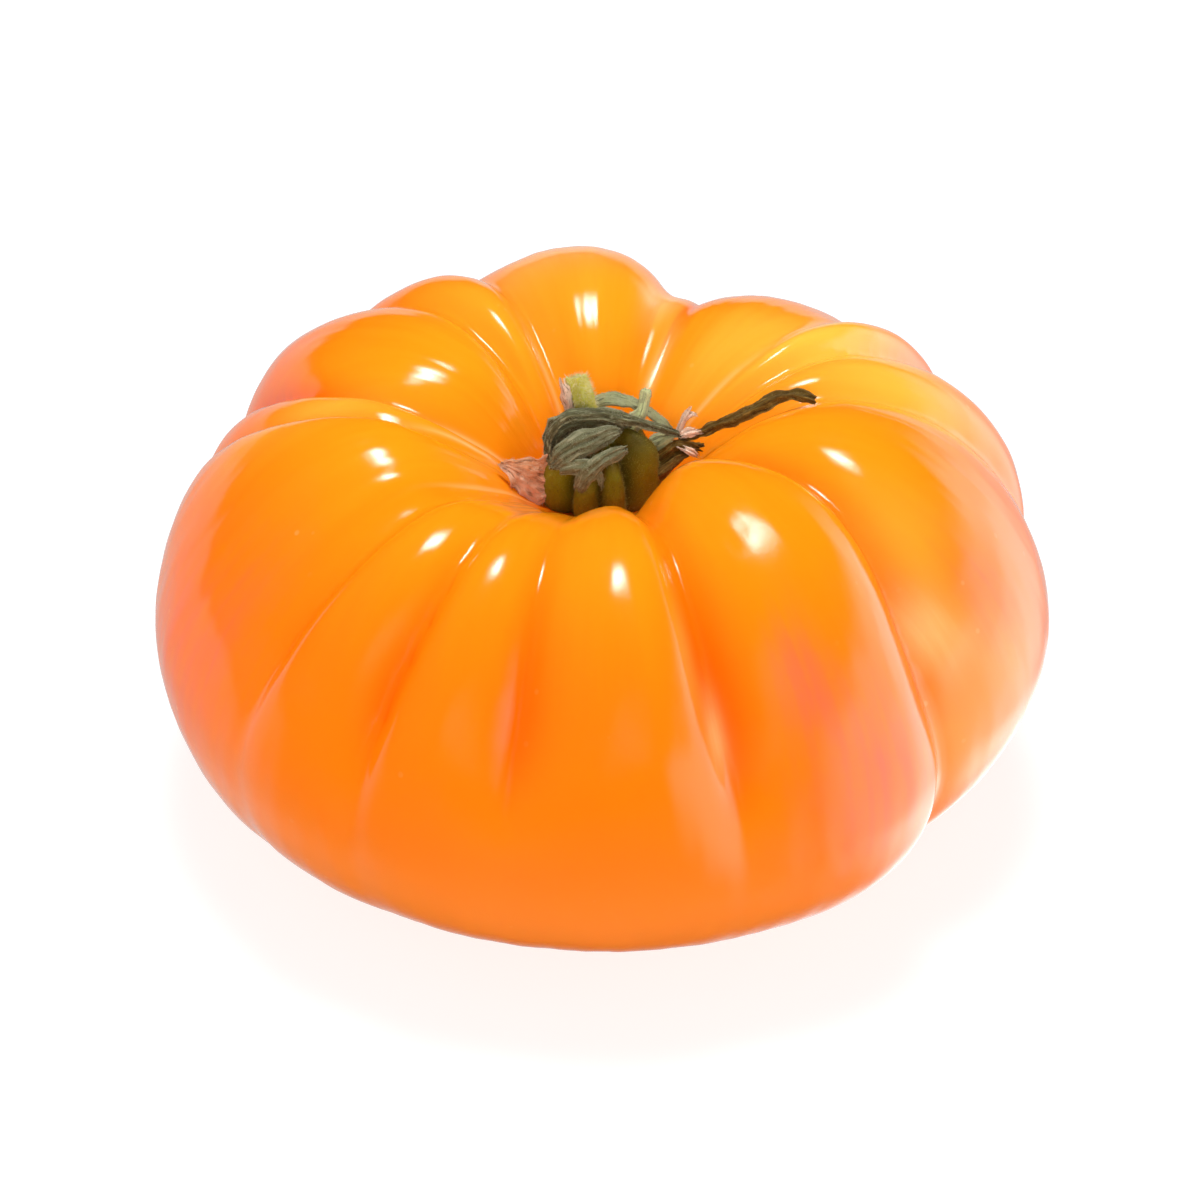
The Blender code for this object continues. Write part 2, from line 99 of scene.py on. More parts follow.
# ---------------------------------------------------------------- the calyx's form
# The hub's half section and lobes, in the same way as the fruit's.
HUB_PROFILE = [
    (0, 52.7), (2.4, 52.6), (4.2, 52.1), (5.8, 50.9), (6.9, 49.0), (7.2, 47.4), (7.0, 45.8),
    (6.0, 44.6), (4.0, 44.2), (0, 44.2),
]
HUB_LOBES = [
    (18, 18, 1.2, 1.4, 0.95,             0.0, 0.3, -0.3, 0.0, 1.0),
    (62, 62, 1.2, 1.4, 0.95,             0.0, -0.2, -0.3, 0.0, 1.0),
    (106, 106, 1.2, 1.4, 0.95,           0.0, 0.2, -0.3, 0.0, 1.0),
    (152, 152, 1.2, 1.4, 0.95,           0.0, 0.0, -0.3, 0.0, 1.0),
    (190, 188, 1.2, 1.2, 0.95,           0.0, 1.2, 1.1, 1.2, 1.0),
    (237, 237, 1.4, 2.0, 0.95,           -0.6, -1.0, 1.0, 1.2, 1.0),
    (266, 268, 1.4, 2.0, 0.95,           0.0, 0.8, 0.8, 1.0, 1.0),
    (298, 298, 1.4, 2.2, 0.95,           1.2, 2.5, 0.4, 1.2, 1.1),
    (352, 352, 1.2, 1.4, 0.95,           0.3, 0.3, -0.2, 0.0, 1.0),
]
# What the hub's node group is given besides.
HUB_SURFACE = {
    "Fullness": 0.7, "Crease Softness": 0.0003, "Wave Height": 0.0006, "Wave Size": 0.0025,
    "Grain Height": 0.00025,
}
# Stalk stub: axis points and radii, then its broken end.
STALK_AXIS = [
    (-1.3, 1.3, 52.4), (-1.8, 1.5, 54.6), (-2.3, 1.8, 56.4), (-2.8, 2.1, 58.1), (-3.1, 2.3, 59.3),
]
STALK_RADII = [1.9, 1.5, 1.36, 1.38, 1.25]
STALK_END_SLANT = 0.55        # height gained for each millimetre across the broken end
STALK_END_FACES = 110.0       # direction that the slanted end faces in
STALK_END_DISH = 0.35         # how far the pith has sunk at the broken end
STALK_END_TEAR = 3.5          # how much the fibres stand out at the broken end
STALK_FURROWS = 5             # furrows round the stalk
STALK_ROWS, STALK_SIDES = 60, 48


# ---------------------------------------------------------------- node trees as expressions
def both_ways(operation):
    """A maths operator's two methods: with the wire first, and with it second."""
    return (lambda wire, other: wire.tree.math(operation, wire, other),
            lambda wire, other: wire.tree.math(operation, other, wire))


class Wire:
    """A node's output. Sums, products and powers of wires and numbers add their Math nodes."""

    def __init__(self, tree, socket):
        self.tree = tree
        self.socket = socket

    def out(self, name):
        """Another output of the same node."""
        return Wire(self.tree, self.socket.node.outputs[name])

    def math(self, operation, *others):
        return self.tree.math(operation, self, *others)

    __add__, __radd__ = both_ways("ADD")
    __sub__, __rsub__ = both_ways("SUBTRACT")
    __mul__, __rmul__ = both_ways("MULTIPLY")
    __truediv__, __rtruediv__ = both_ways("DIVIDE")
    __pow__, __rpow__ = both_ways("POWER")

    def rise(self, low, high):
        """0 where this is under low and 1 where it is over high, with a smooth S between."""
        return self.tree.node("ShaderNodeMapRange", {"interpolation_type": "SMOOTHSTEP"},
                              {"Value": self, "From Min": low, "From Max": high})

    def bell(self, middle, half):
        """1 at the middle, falling off to both sides like a bell."""
        off = (self - middle) / half
        return (off * off * -1.0).math("EXPONENT")


class Tree:
    """A shader or geometry node tree under construction."""

    def __init__(self, data):
        self.data = data
        self.data.nodes.clear()

    def add(self, kind, settings=None, inputs=None):
        """Adds a node: its settings first, then values or links for its sockets."""
        node = self.data.nodes.new(kind)
        for name, value in (settings or {}).items():
            setattr(node, name, value)
        for key, value in (inputs or {}).items():
            self.feed(node.inputs[key], value)
        return node

    def node(self, kind, settings=None, inputs=None, output=0):
        """Adds a node in the same way and gives one of its outputs."""
        return Wire(self, self.add(kind, settings, inputs).outputs[output])

    def feed(self, socket, value):
        """Links a wire to the socket, or sets its value."""
        if isinstance(value, Wire):
            self.data.links.new(value.socket, socket)
        elif socket.type == "RGBA" and len(value) == 3:
            socket.default_value = (*value, 1.0)
        else:
            socket.default_value = value

    def math(self, operation, *values):
        return self.node("ShaderNodeMath", {"operation": operation}, dict(enumerate(values)))

    def vector(self, operation, *values, output=0):
        """Vector maths on wires and triples."""
        return self.node("ShaderNodeVectorMath", {"operation": operation}, dict(enumerate(values)),
                         output)

    def scale(self, vector, factor):
        return self.node("ShaderNodeVectorMath", {"operation": "SCALE"},
                         {"Vector": vector, "Scale": factor})

    def join(self, x, y, z):
        """One vector from three values."""
        return self.node("ShaderNodeCombineXYZ", {}, {"X": x, "Y": y, "Z": z})

    def split(self, vector):
        parts = self.node("ShaderNodeSeparateXYZ", {}, {"Vector": vector})
        return parts, parts.out("Y"), parts.out("Z")

    def tint(self, factor, first, second):
        """The first colour where the factor is 0 and the second where it is 1."""
        return self.node("ShaderNodeMix", {"data_type": "RGBA"}, {0: factor, 6: first, 7: second}, 2)

    def noise(self, vector, size, detail=2.0, roughness=0.5):
        """Soft cloudy noise of about 0 to 1, one cloud to each size of the vector."""
        return self.node("ShaderNodeTexNoise", {}, {"Vector": vector, "Scale": 1.0 / size,
                                                    "Detail": detail, "Roughness": roughness})

    def attribute(self, name, output="Fac"):
        """A value that a mesh carries, for a material."""
        return self.node("ShaderNodeAttribute", {"attribute_name": name}, {}, output)

    def stored(self, name):
        """A value that a mesh carries, for a geometry tree."""
        return self.node("GeometryNodeInputNamedAttribute", {"data_type": "FLOAT"}, {"Name": name})

    def store(self, geometry, name, value, kind="FLOAT"):
        """Writes a value on every point of a mesh."""
        return self.node("GeometryNodeStoreNamedAttribute", {"data_type": kind, "domain": "POINT"},
                         {"Geometry": geometry, "Name": name, "Value": value})


def node_group(name, sockets):
    """A geometry node group with its inputs and the one geometry that it puts out."""
    group = bpy.data.node_groups.new(name, "GeometryNodeTree")
    for label, kind, value in sockets:
        socket = group.interface.new_socket(label, in_out="INPUT", socket_type="NodeSocket" + kind)
        if value is not None:
            socket.default_value = value
    group.interface.new_socket("Geometry", in_out="OUTPUT", socket_type="NodeSocketGeometry")
    return group


def put_out(tree, geometry, finish):
    """Ends a geometry tree: plain geometry with its finish on."""
    plain = tree.node("GeometryNodeRealizeInstances", {}, {"Geometry": geometry})
    painted = tree.node("GeometryNodeSetMaterial", {}, {"Geometry": plain, "Material": finish})
    tree.add("NodeGroupOutput", {}, {"Geometry": painted})


def add_object(name, data):
    """An object in the scene."""
    obj = bpy.data.objects.new(name, data)
    bpy.context.scene.collection.objects.link(obj)
    return obj


def grow(name, group, values, surface=None):
    """Plain mesh object grown by a geometry node group, on a surface if one is given."""
    obj = add_object(name, surface or bpy.data.meshes.new(name))
    modifier = obj.modifiers.new(name, "NODES")
    modifier.node_group = group
    identifiers = {item.name: item.identifier for item in group.interface.items_tree
                   if item.item_type == "SOCKET" and item.in_out == "INPUT"}
    for key, value in values.items():
        modifier[identifiers[key]] = value
    depsgraph = bpy.context.evaluated_depsgraph_get()
    depsgraph.update()
    grown = bpy.data.meshes.new_from_object(obj.evaluated_get(depsgraph),
                                            preserve_all_data_layers=True, depsgraph=depsgraph)
    obj.modifiers.remove(modifier)
    obj.data = grown
    grown.name = name
    return obj


# ---------------------------------------------------------------- curves and rows
def curve_through(points, steps=40):
    """Centripetal Catmull-Rom curve through the points, as samples of about even length."""
    p = np.array(points, float)
    p = np.vstack([2 * p[0] - p[1], p, 2 * p[-1] - p[-2]])
    pieces = []
    for i in range(1, len(p) - 2):
        a, b, c, d = p[i - 1:i + 3]
        tb = np.linalg.norm(b - a) ** 0.5
        tc = tb + np.linalg.norm(c - b) ** 0.5
        td = tc + np.linalg.norm(d - c) ** 0.5
        t = np.linspace(tb, tc, steps, endpoint=False)[:, None]
        ab = (tb - t) / tb * a + t / tb * b
        bc = (tc - t) / (tc - tb) * b + (t - tb) / (tc - tb) * c
        cd = (td - t) / (td - tc) * c + (t - tc) / (td - tc) * d
        abc = (tc - t) / tc * ab + t / tc * bc
        bcd = (td - t) / (td - tb) * bc + (t - tb) / (td - tb) * cd
        pieces.append((tc - t) / (tc - tb) * abc + (t - tb) / (tc - tb) * bcd)
    return np.vstack(pieces + [p[-2][None]])


def section_object(name, profile):
    """Curve object of a half section, from the axis on top to the axis below."""
    mirrored = [(-profile[1][0], profile[1][1])] + profile + [(-profile[-2][0], profile[-2][1])]
    samples = curve_through(mirrored)
    first = int(np.argmax(samples[:, 0] >= 0.0))
    last = len(samples) - int(np.argmax(samples[::-1, 0] >= 0.0))
    samples = samples[first:last]
    curve = bpy.data.curves.new(name, "CURVE")
    curve.dimensions = "3D"
    spline = curve.splines.new("POLY")
    spline.points.add(len(samples) - 1)
    for point, (radius, height) in zip(spline.points, samples * MM):
        point.co = (max(radius, 0.0), 0.0, height, 1.0)
    return add_object(name, curve)


def lobes_object(name, lobes):
    """Mesh object with a point for each lobe, which carries the lobe's values."""
    mesh = bpy.data.meshes.new(name)
    mesh.from_pydata([(k * MM, 0.0, 0.0) for k in range(len(lobes))], [], [])
    for column, value in enumerate(LOBE_VALUES):
        layer = mesh.attributes.new(value, "FLOAT", "POINT")
        layer.data.foreach_set("value", [float(lobe[column]) for lobe in lobes])
    return add_object(name, mesh)


# ---------------------------------------------------------------- the lobed body's node tree
# Places from the top (0) to the base (1) between which a crease begins, turns from its rim angle
# to its girth angle, and goes from its rim depth to its girth depth; then where it starts to end.
CREASE_BEGINS, CREASE_TURNS, CREASE_DEEPENS = (0.04, 0.17), (0.12, 0.46), (0.16, 0.38)
CREASE_ENDS = 0.38
# Where each swell of a lobe has its middle and how far it reaches.
SWELLS = {"hollow_swell": (0.15, 0.06), "shoulder_swell": (0.27, 0.13), "girth_swell": (0.46, 0.15),
          "below_swell": (0.68, 0.12)}
SOFTENING_REACH = 10          # columns to each side that a crease is softened over
WIDEST_SOFTENING = 4.0        # degrees that a crease is softened over where rings are smallest
SEAM = 0.02 * MM              # points nearer than this are one point


def lobed_body_group(name, dents):
    """Node group that turns a section round the axis and raises it into lobes."""
    group = node_group(name, [
        ("Section", "Object", None), ("Lobes", "Object", None), ("Columns", "Int", 480),
        ("Rings", "Int", 180), ("Fullness", "Float", 0.62), ("Crease Softness", "Float", 0.0008),
        ("Depth Ratio", "Float", 1.0), ("Base Height", "Float", 0.0),
        ("Wave Height", "Float", 0.0), ("Wave Size", "Float", 0.02), ("Grain Height", "Float", 0.0),
        ("Finish", "Material", None),
    ])
    tree = Tree(group)
    given = tree.node("NodeGroupInput")
    columns, rings = given.out("Columns"), given.out("Rings")
    section = tree.node("GeometryNodeObjectInfo", {}, {"Object": given.out("Section")}).out("Geometry")
    lobes = tree.node("GeometryNodeObjectInfo", {}, {"Object": given.out("Lobes")}).out("Geometry")
    count = tree.node("GeometryNodeAttributeDomainSize", {"component": "MESH"}, {"Geometry": lobes})

    # A grid with a column for each angle and a ring for each place along the section.
    grid = tree.node("GeometryNodeMeshGrid", {}, {"Size X": 1.0, "Size Y": 1.0,
                                                  "Vertices X": columns + 1, "Vertices Y": rings})
    index = tree.node("GeometryNodeInputIndex")
    column = ((index + 0.5) / rings).math("FLOOR")
    ring = index - column * rings
    angle = column / columns * 360.0
    place = ring / (rings - 1)
    sample = tree.node("GeometryNodeSampleCurve", {"mode": "FACTOR", "data_type": "FLOAT"},
                       {"Curves": section, "Factor": place}, 1)
    radius, _, height = tree.split(sample)
    run, _, fall = tree.split(sample.out("Tangent"))

    # Round the lobes, adding what each does to its own stretch of every ring.
    opening = tree.add("GeometryNodeRepeatInput")
    end = tree.add("GeometryNodeRepeatOutput")
    opening.pair_with_output(end)
    end.repeat_items.clear()
    for item in ("Relief", "Crease"):
        end.repeat_items.new("FLOAT", item)
    tree.feed(opening.inputs["Iterations"], count)
    start = Wire(tree, opening.outputs["Iteration"])

    def lobe_at(number):
        """A lobe's values."""
        values = {}
        for value in LOBE_VALUES:
            values[value] = tree.node(
                "GeometryNodeSampleIndex", {"data_type": "FLOAT", "domain": "POINT"},
                {"Geometry": lobes, "Value": tree.stored(value), "Index": number})
        return values

    def crease_angle(lobe):
        turn = (lobe["girth"] - lobe["rim"]).math("WRAP", 180.0, -180.0)
        return lobe["rim"] + turn * place.rise(*CREASE_TURNS)

    def crease_depth(lobe):
        gain = lobe["girth_depth"] - lobe["rim_depth"]
        depth = lobe["rim_depth"] + gain * place.rise(*CREASE_DEEPENS)
        return depth * place.rise(*CREASE_BEGINS) * (1.0 - place.rise(CREASE_ENDS, lobe["reach"]))

    here, after = lobe_at(start), lobe_at((start + 1).math("MODULO", count))
    first = crease_angle(here)
    width = (crease_angle(after) - first).math("WRAP", 360.0, 0.0)
    across = (angle - first).math("WRAP", 360.0, 0.0) / width
    inside = across.math("LESS_THAN", 1.0)
    lean = across.math("MINIMUM", 1.0) ** here["lean"]
    hump = (lean * (1.0 - lean) * 4.0).math("MAXIMUM", 0.0)
    depth = crease_depth(here) * (1.0 - lean) + crease_depth(after) * lean
    swell = 0.0
    for part, (middle, half) in SWELLS.items():
        swell = here[part] * place.bell(middle, half) + swell
    sink = depth * (1.0 - hump ** given.out("Fullness")) * inside
    tree.feed(end.inputs["Relief"], start.out("Relief") - sink + swell * hump ** 0.8 * inside)
    tree.feed(end.inputs["Crease"], start.out("Crease") + sink)

    raised = grid
    for item in ("Relief", "Crease"):
        raised = tree.store(raised, item.lower(), Wire(tree, end.outputs[item]))

    # Soften the creases along each ring, by the same width on small rings and on large ones.
    softness = (given.out("Crease Softness") / (radius + MM) * math.degrees(1.0)).math(
        "MINIMUM", WIDEST_SOFTENING)
    relief = tree.stored("relief")
    total, weights = 0.0, 0.0
    for step in range(-SOFTENING_REACH, SOFTENING_REACH + 1):
        neighbour = (column + step).math("WRAP", columns, 0.0) * rings + ring
        value = tree.node("GeometryNodeFieldAtIndex", {"data_type": "FLOAT", "domain": "POINT"},
                          {"Value": relief, "Index": neighbour})
        weight = (360.0 * step / columns).bell(0.0, softness * math.sqrt(2.0)) if step else 1.0
        total = value * weight + total
        weights = weight + weights
    relief = total / weights

    # Small dents, then slow waves and a finer grain drawn out along the lobes.
    radians = angle * math.radians(1.0)
    east, north = radians.math("COSINE"), radians.math("SINE")
    for where, depth_place, half, length, depth in dents:
        near = (angle - where).bell(0.0, half) * place.bell(depth_place, length)
        relief = relief - near * depth
    plain = tree.join(east * radius, north * radius, height)
    fade = place.rise(0.03, 0.12) * (1.0 - place.rise(0.80, 0.90))
    wave = tree.noise(plain, given.out("Wave Size"), 2.0) - 0.5
    streak = tree.noise(tree.join(east * 9.0, north * 9.0, place * 5.0), 0.5, 2.0) - 0.5
    off = (relief * MM + wave * given.out("Wave Height") * fade
           + streak * given.out("Grain Height") * fade)
    reach = radius - fall * off
    tall = (height + run * off).math("MAXIMUM", given.out("Base Height"))
    placed = tree.node("GeometryNodeSetPosition", {}, {
        "Geometry": raised,
        "Position": tree.join(east * reach, north * reach * given.out("Depth Ratio"), tall)})
    placed = tree.store(placed, "place", place)
    placed = tree.store(placed, "turn", tree.join(east, north, 0.0), "FLOAT_VECTOR")
    out = tree.node("GeometryNodeFlipFaces", {}, {"Mesh": placed})
    closed = tree.node("GeometryNodeMergeByDistance", {}, {"Geometry": out, "Distance": SEAM})
    smooth = tree.node("GeometryNodeSetShadeSmooth", {}, {"Geometry": closed, "Shade Smooth": True})
    put_out(tree, smooth, given.out("Finish"))
    return group


# ---------------------------------------------------------------- hairs
def hairs_group():
    """Node group that sets tapering three-sided hairs on a surface, at random but seeded."""
    group = node_group("Plant hairs", [
        ("Surface", "Geometry", None), ("Density", "Float", 2.0e6), ("Length", "Float", 0.0008),
        ("Thickness", "Float", 0.00003), ("Lean", "Float", 0.5), ("Seed", "Int", 1),
        ("Finish", "Material", None),
    ])
    tree = Tree(group)
    given = tree.node("NodeGroupInput")
    scatter = tree.node("GeometryNodeDistributePointsOnFaces", {"distribute_method": "RANDOM"},
                        {"Mesh": given, "Density": given.out("Density"), "Seed": given.out("Seed")})
    cone = tree.node("GeometryNodeMeshCone", {"fill_type": "NONE"},
                     {"Vertices": 3, "Side Segments": 1,
                      "Radius Top": given.out("Thickness") * 0.15,
                      "Radius Bottom": given.out("Thickness"), "Depth": 1.0})
    size = tree.node("FunctionNodeRandomValue", {"data_type": "FLOAT"},
                     {"Min": 0.35, "Max": 1.15, "Seed": given.out("Seed")}, 1)
    stray = tree.node("FunctionNodeRandomValue", {"data_type": "FLOAT_VECTOR"},
                      {"Min": (-1.0,) * 3, "Max": (1.0,) * 3, "Seed": given.out("Seed") + 1})
    aim = tree.vector("ADD", scatter.out("Normal"), tree.scale(stray, given.out("Lean")))
    turned = tree.node("FunctionNodeAlignRotationToVector", {"axis": "Z"}, {"Vector": aim})
    length = given.out("Length") * size
    stood = tree.node("GeometryNodeInstanceOnPoints", {},
                      {"Points": scatter, "Instance": cone, "Rotation": turned,
                       "Scale": tree.join(1.0, 1.0, length)})
    put_out(tree, stood, given.out("Finish"))
    return group


# ---------------------------------------------------------------- blades
def blend_stations(table, count):
    """Smooth rows between given rows, evenly spaced from row to row."""
    table = np.array(table, float)
    padded = np.vstack([2 * table[0] - table[1], table, 2 * table[-1] - table[-2]])
    rows = []
    for u in np.linspace(0.0, len(table) - 1.0, count):
        k = min(int(u), len(table) - 2)
        t = u - k
        a, b, c, d = padded[k:k + 4]
        rows.append(0.5 * ((2 * b) + (c - a) * t + (2 * a - 5 * b + 4 * c - d) * t * t
                           + (3 * b - a - 3 * c + d) * t * t * t))
    return np.array(rows)


def full_rows(stations):
    """Stations as rows of numbers: point, half width, curl, facing."""
    rows, full = [], ()
    for station in stations:
        full = (*station, *full[len(station):])
        point, half, curl, facing = full
        rows.append((*point, half, curl, *facing))
    return np.array(rows, float)


def unit(rows):
    """Rows of vectors at length 1."""
    return rows / np.maximum(np.linalg.norm(rows, axis=-1, keepdims=True), 1e-9)


BLADE_LOOK = {
    "thickness": 0.55,      # at the midrib
    "edge": 0.25,           # share of the thickness left at the edges
    "across": 14,           # faces across
    "rows_per_mm": 5.0,
    "ridges": 3.0,          # lengthwise folds from edge to edge
    "ridge_height": 0.10,
    "rib": 0.0,             # how far the midrib is sunk in
    "crumple": 0.15,
    "crumple_size": 1.3,
    "wave": 0.15,           # how much the edges wander, as a share of the half width
    "ragged": 0.3,          # how torn the two ends are
    "twist": 0.0,           # turn of the blade from its first end to its last, in degrees
    "bleach": 0.0,          # how much of the finish's palest colour it has
    "fade": 0.0,            # how much less of it there is at one edge, and more at the other
}
TORN_LENGTH = 0.8             # millimetres of each end that are torn


def blade(mesh, stations, seed, **changes):
    """Adds one closed blade to the mesh: curled, ridged, crumpled and ragged at its ends."""
    look = {**BLADE_LOOK, **changes}
    table = full_rows(stations)
    length = np.linalg.norm(np.diff(table[:, :3], axis=0), axis=1).sum()
    count = max(12, int(length * look["rows_per_mm"]))
    rows = blend_stations(table, count)
    centre, half, curl, facing = rows[:, :3], rows[:, 3], rows[:, 4], rows[:, 5:]
    along = unit(np.gradient(centre, axis=0))
    facing = unit(facing - (facing * along).sum(1)[:, None] * along)
    side = np.cross(along, facing)
    across = look["across"]
    drift = Vector((seed * 7.3, seed * 3.1, seed * 5.7))

    def cloud(x, y, z, size):
        """Signed noise at a point in millimetres."""
        return noise.noise(Vector((x, y, z)) / size + drift)

    leaf = mesh.verts.layers.float_vector.get("leaf") or mesh.verts.layers.float_vector.new("leaf")
    outer, inner = [], []
    for k in range(count):
        u = k / (count - 1)
        turn = math.radians(look["twist"]) * (u - 0.5)
        out = facing[k] * math.cos(turn) + side[k] * math.sin(turn)
        across_axis = side[k] * math.cos(turn) - facing[k] * math.sin(turn)
        torn = max(0.0, 1.0 - min(u, 1.0 - u) * length / TORN_LENGTH)
        rings = ([], [])
        for j in range(across + 1):
            v = 2.0 * j / across - 1.0
            wander = 1.0 + look["wave"] * 1.6 * cloud(u * length, 9.0 * np.sign(v), 0.0, 1.4)
            spread = v * half[k] * wander
            drop = curl[k] * half[k] * v * v
            ridge = look["ridge_height"] * math.sin(
                look["ridges"] * math.pi * v + 2.5 * cloud(u * length, 0.0, 3.0, 2.5))
            rib = -look["rib"] * math.exp(-(v / 0.16) ** 2)
            p = centre[k] + across_axis * spread - out * drop
            p = p + along[k] * torn * look["ragged"] * 1.4 * cloud(v * 3.0, u * 50.0, 1.0, 0.9)
            crumple = look["crumple"] * cloud(*p, look["crumple_size"])
            crumple += 0.4 * look["crumple"] * cloud(*p, look["crumple_size"] * 0.35)
            p = p + out * (ridge * (1.0 - 0.5 * v * v) + rib + crumple)
            normal = unit(out + across_axis * 2.0 * curl[k] * v)
            thin = look["thickness"] * (1.0 - (1.0 - look["edge"]) * v * v) * (1.0 - 0.5 * torn)
            for ring, sign in zip(rings, (0.5, -0.5)):
                vert = mesh.verts.new(Vector(p + normal * sign * thin) * MM)
                # For the finish: place across, millimetres along, paleness.
                vert[leaf] = (v, u * length, look["bleach"] - look["fade"] * v)
                ring.append(vert)
        outer.append(rings[0])
        inner.append(rings[1])
    for k in range(count - 1):
        for j in range(across):
            mesh.faces.new((outer[k][j], outer[k][j + 1], outer[k + 1][j + 1], outer[k + 1][j]))
            mesh.faces.new((inner[k][j], inner[k + 1][j], inner[k + 1][j + 1], inner[k][j + 1]))
        for j, flip in ((0, False), (across, True)):
            quad = (outer[k][j], outer[k + 1][j], inner[k + 1][j], inner[k][j])
            mesh.faces.new(quad[::-1] if flip else quad)
    for k, flip in ((0, True), (count - 1, False)):
        for j in range(across):
            quad = (outer[k][j], outer[k][j + 1], inner[k][j + 1], inner[k][j])
            mesh.faces.new(quad[::-1] if flip else quad)


def mesh_object(mesh, name, material):
    """The finished mesh as a smooth-shaded object with its material."""
    bmesh.ops.recalc_face_normals(mesh, faces=mesh.faces)
    data = bpy.data.meshes.new(name)
    mesh.to_mesh(data)
    mesh.free()
    data.shade_smooth()
    data.materials.append(material)
    return add_object(name, data)


# ---------------------------------------------------------------- the stalk
def stalk_mesh():
    """Furrowed tube with a slanted, torn and dished end."""
    mesh = bmesh.new()
    rings = []
    rows = blend_stations([(*p, radius) for p, radius in zip(STALK_AXIS, STALK_RADII)], STALK_ROWS)
    for k, (x, y, z, radius) in enumerate(rows):
        u = k / (STALK_ROWS - 1)
        ring = []
        for j in range(STALK_SIDES):
            a = 2.0 * math.pi * j / STALK_SIDES
            east, north = math.cos(a), math.sin(a)
            furrow = 0.05 * math.sin(STALK_FURROWS * a + 0.03 * k)
            pit = 0.10 * noise.noise(Vector((east * 2.0, north * 2.0, z * 0.8)))
            r = radius * (1.0 + furrow + pit)
            rise = STALK_END_SLANT * u * u * r * math.cos(a - math.radians(STALK_END_FACES + 180.0))
            tear = noise.noise(Vector((east * 3.0, north * 3.0, 5.0)))
            tear = tear * STALK_END_TEAR * max(0.0, u - 0.9)
            ring.append(mesh.verts.new(((x + r * east) * MM, (y + r * north) * MM,
                                        (z + rise + tear) * MM)))
        rings.append(ring)
    for lower, upper in zip(rings, rings[1:]):
        for j in range(STALK_SIDES):
            k = (j + 1) % STALK_SIDES
            mesh.faces.new((lower[j], lower[k], upper[k], upper[j]))
    for ring, dish in ((rings[0], 0.0), (rings[-1], STALK_END_DISH * MM)):
        centre = sum((v.co for v in ring), Vector()) / STALK_SIDES
        inner = [mesh.verts.new(centre.lerp(v.co, 0.6) - Vector((0, 0, dish / 2))) for v in ring]
        middle = mesh.verts.new(centre - Vector((0, 0, dish)))
        for j in range(STALK_SIDES):
            k = (j + 1) % STALK_SIDES
            mesh.faces.new((inner[j], inner[k], ring[k], ring[j]))
            mesh.faces.new((middle, inner[k], inner[j]))
    return mesh


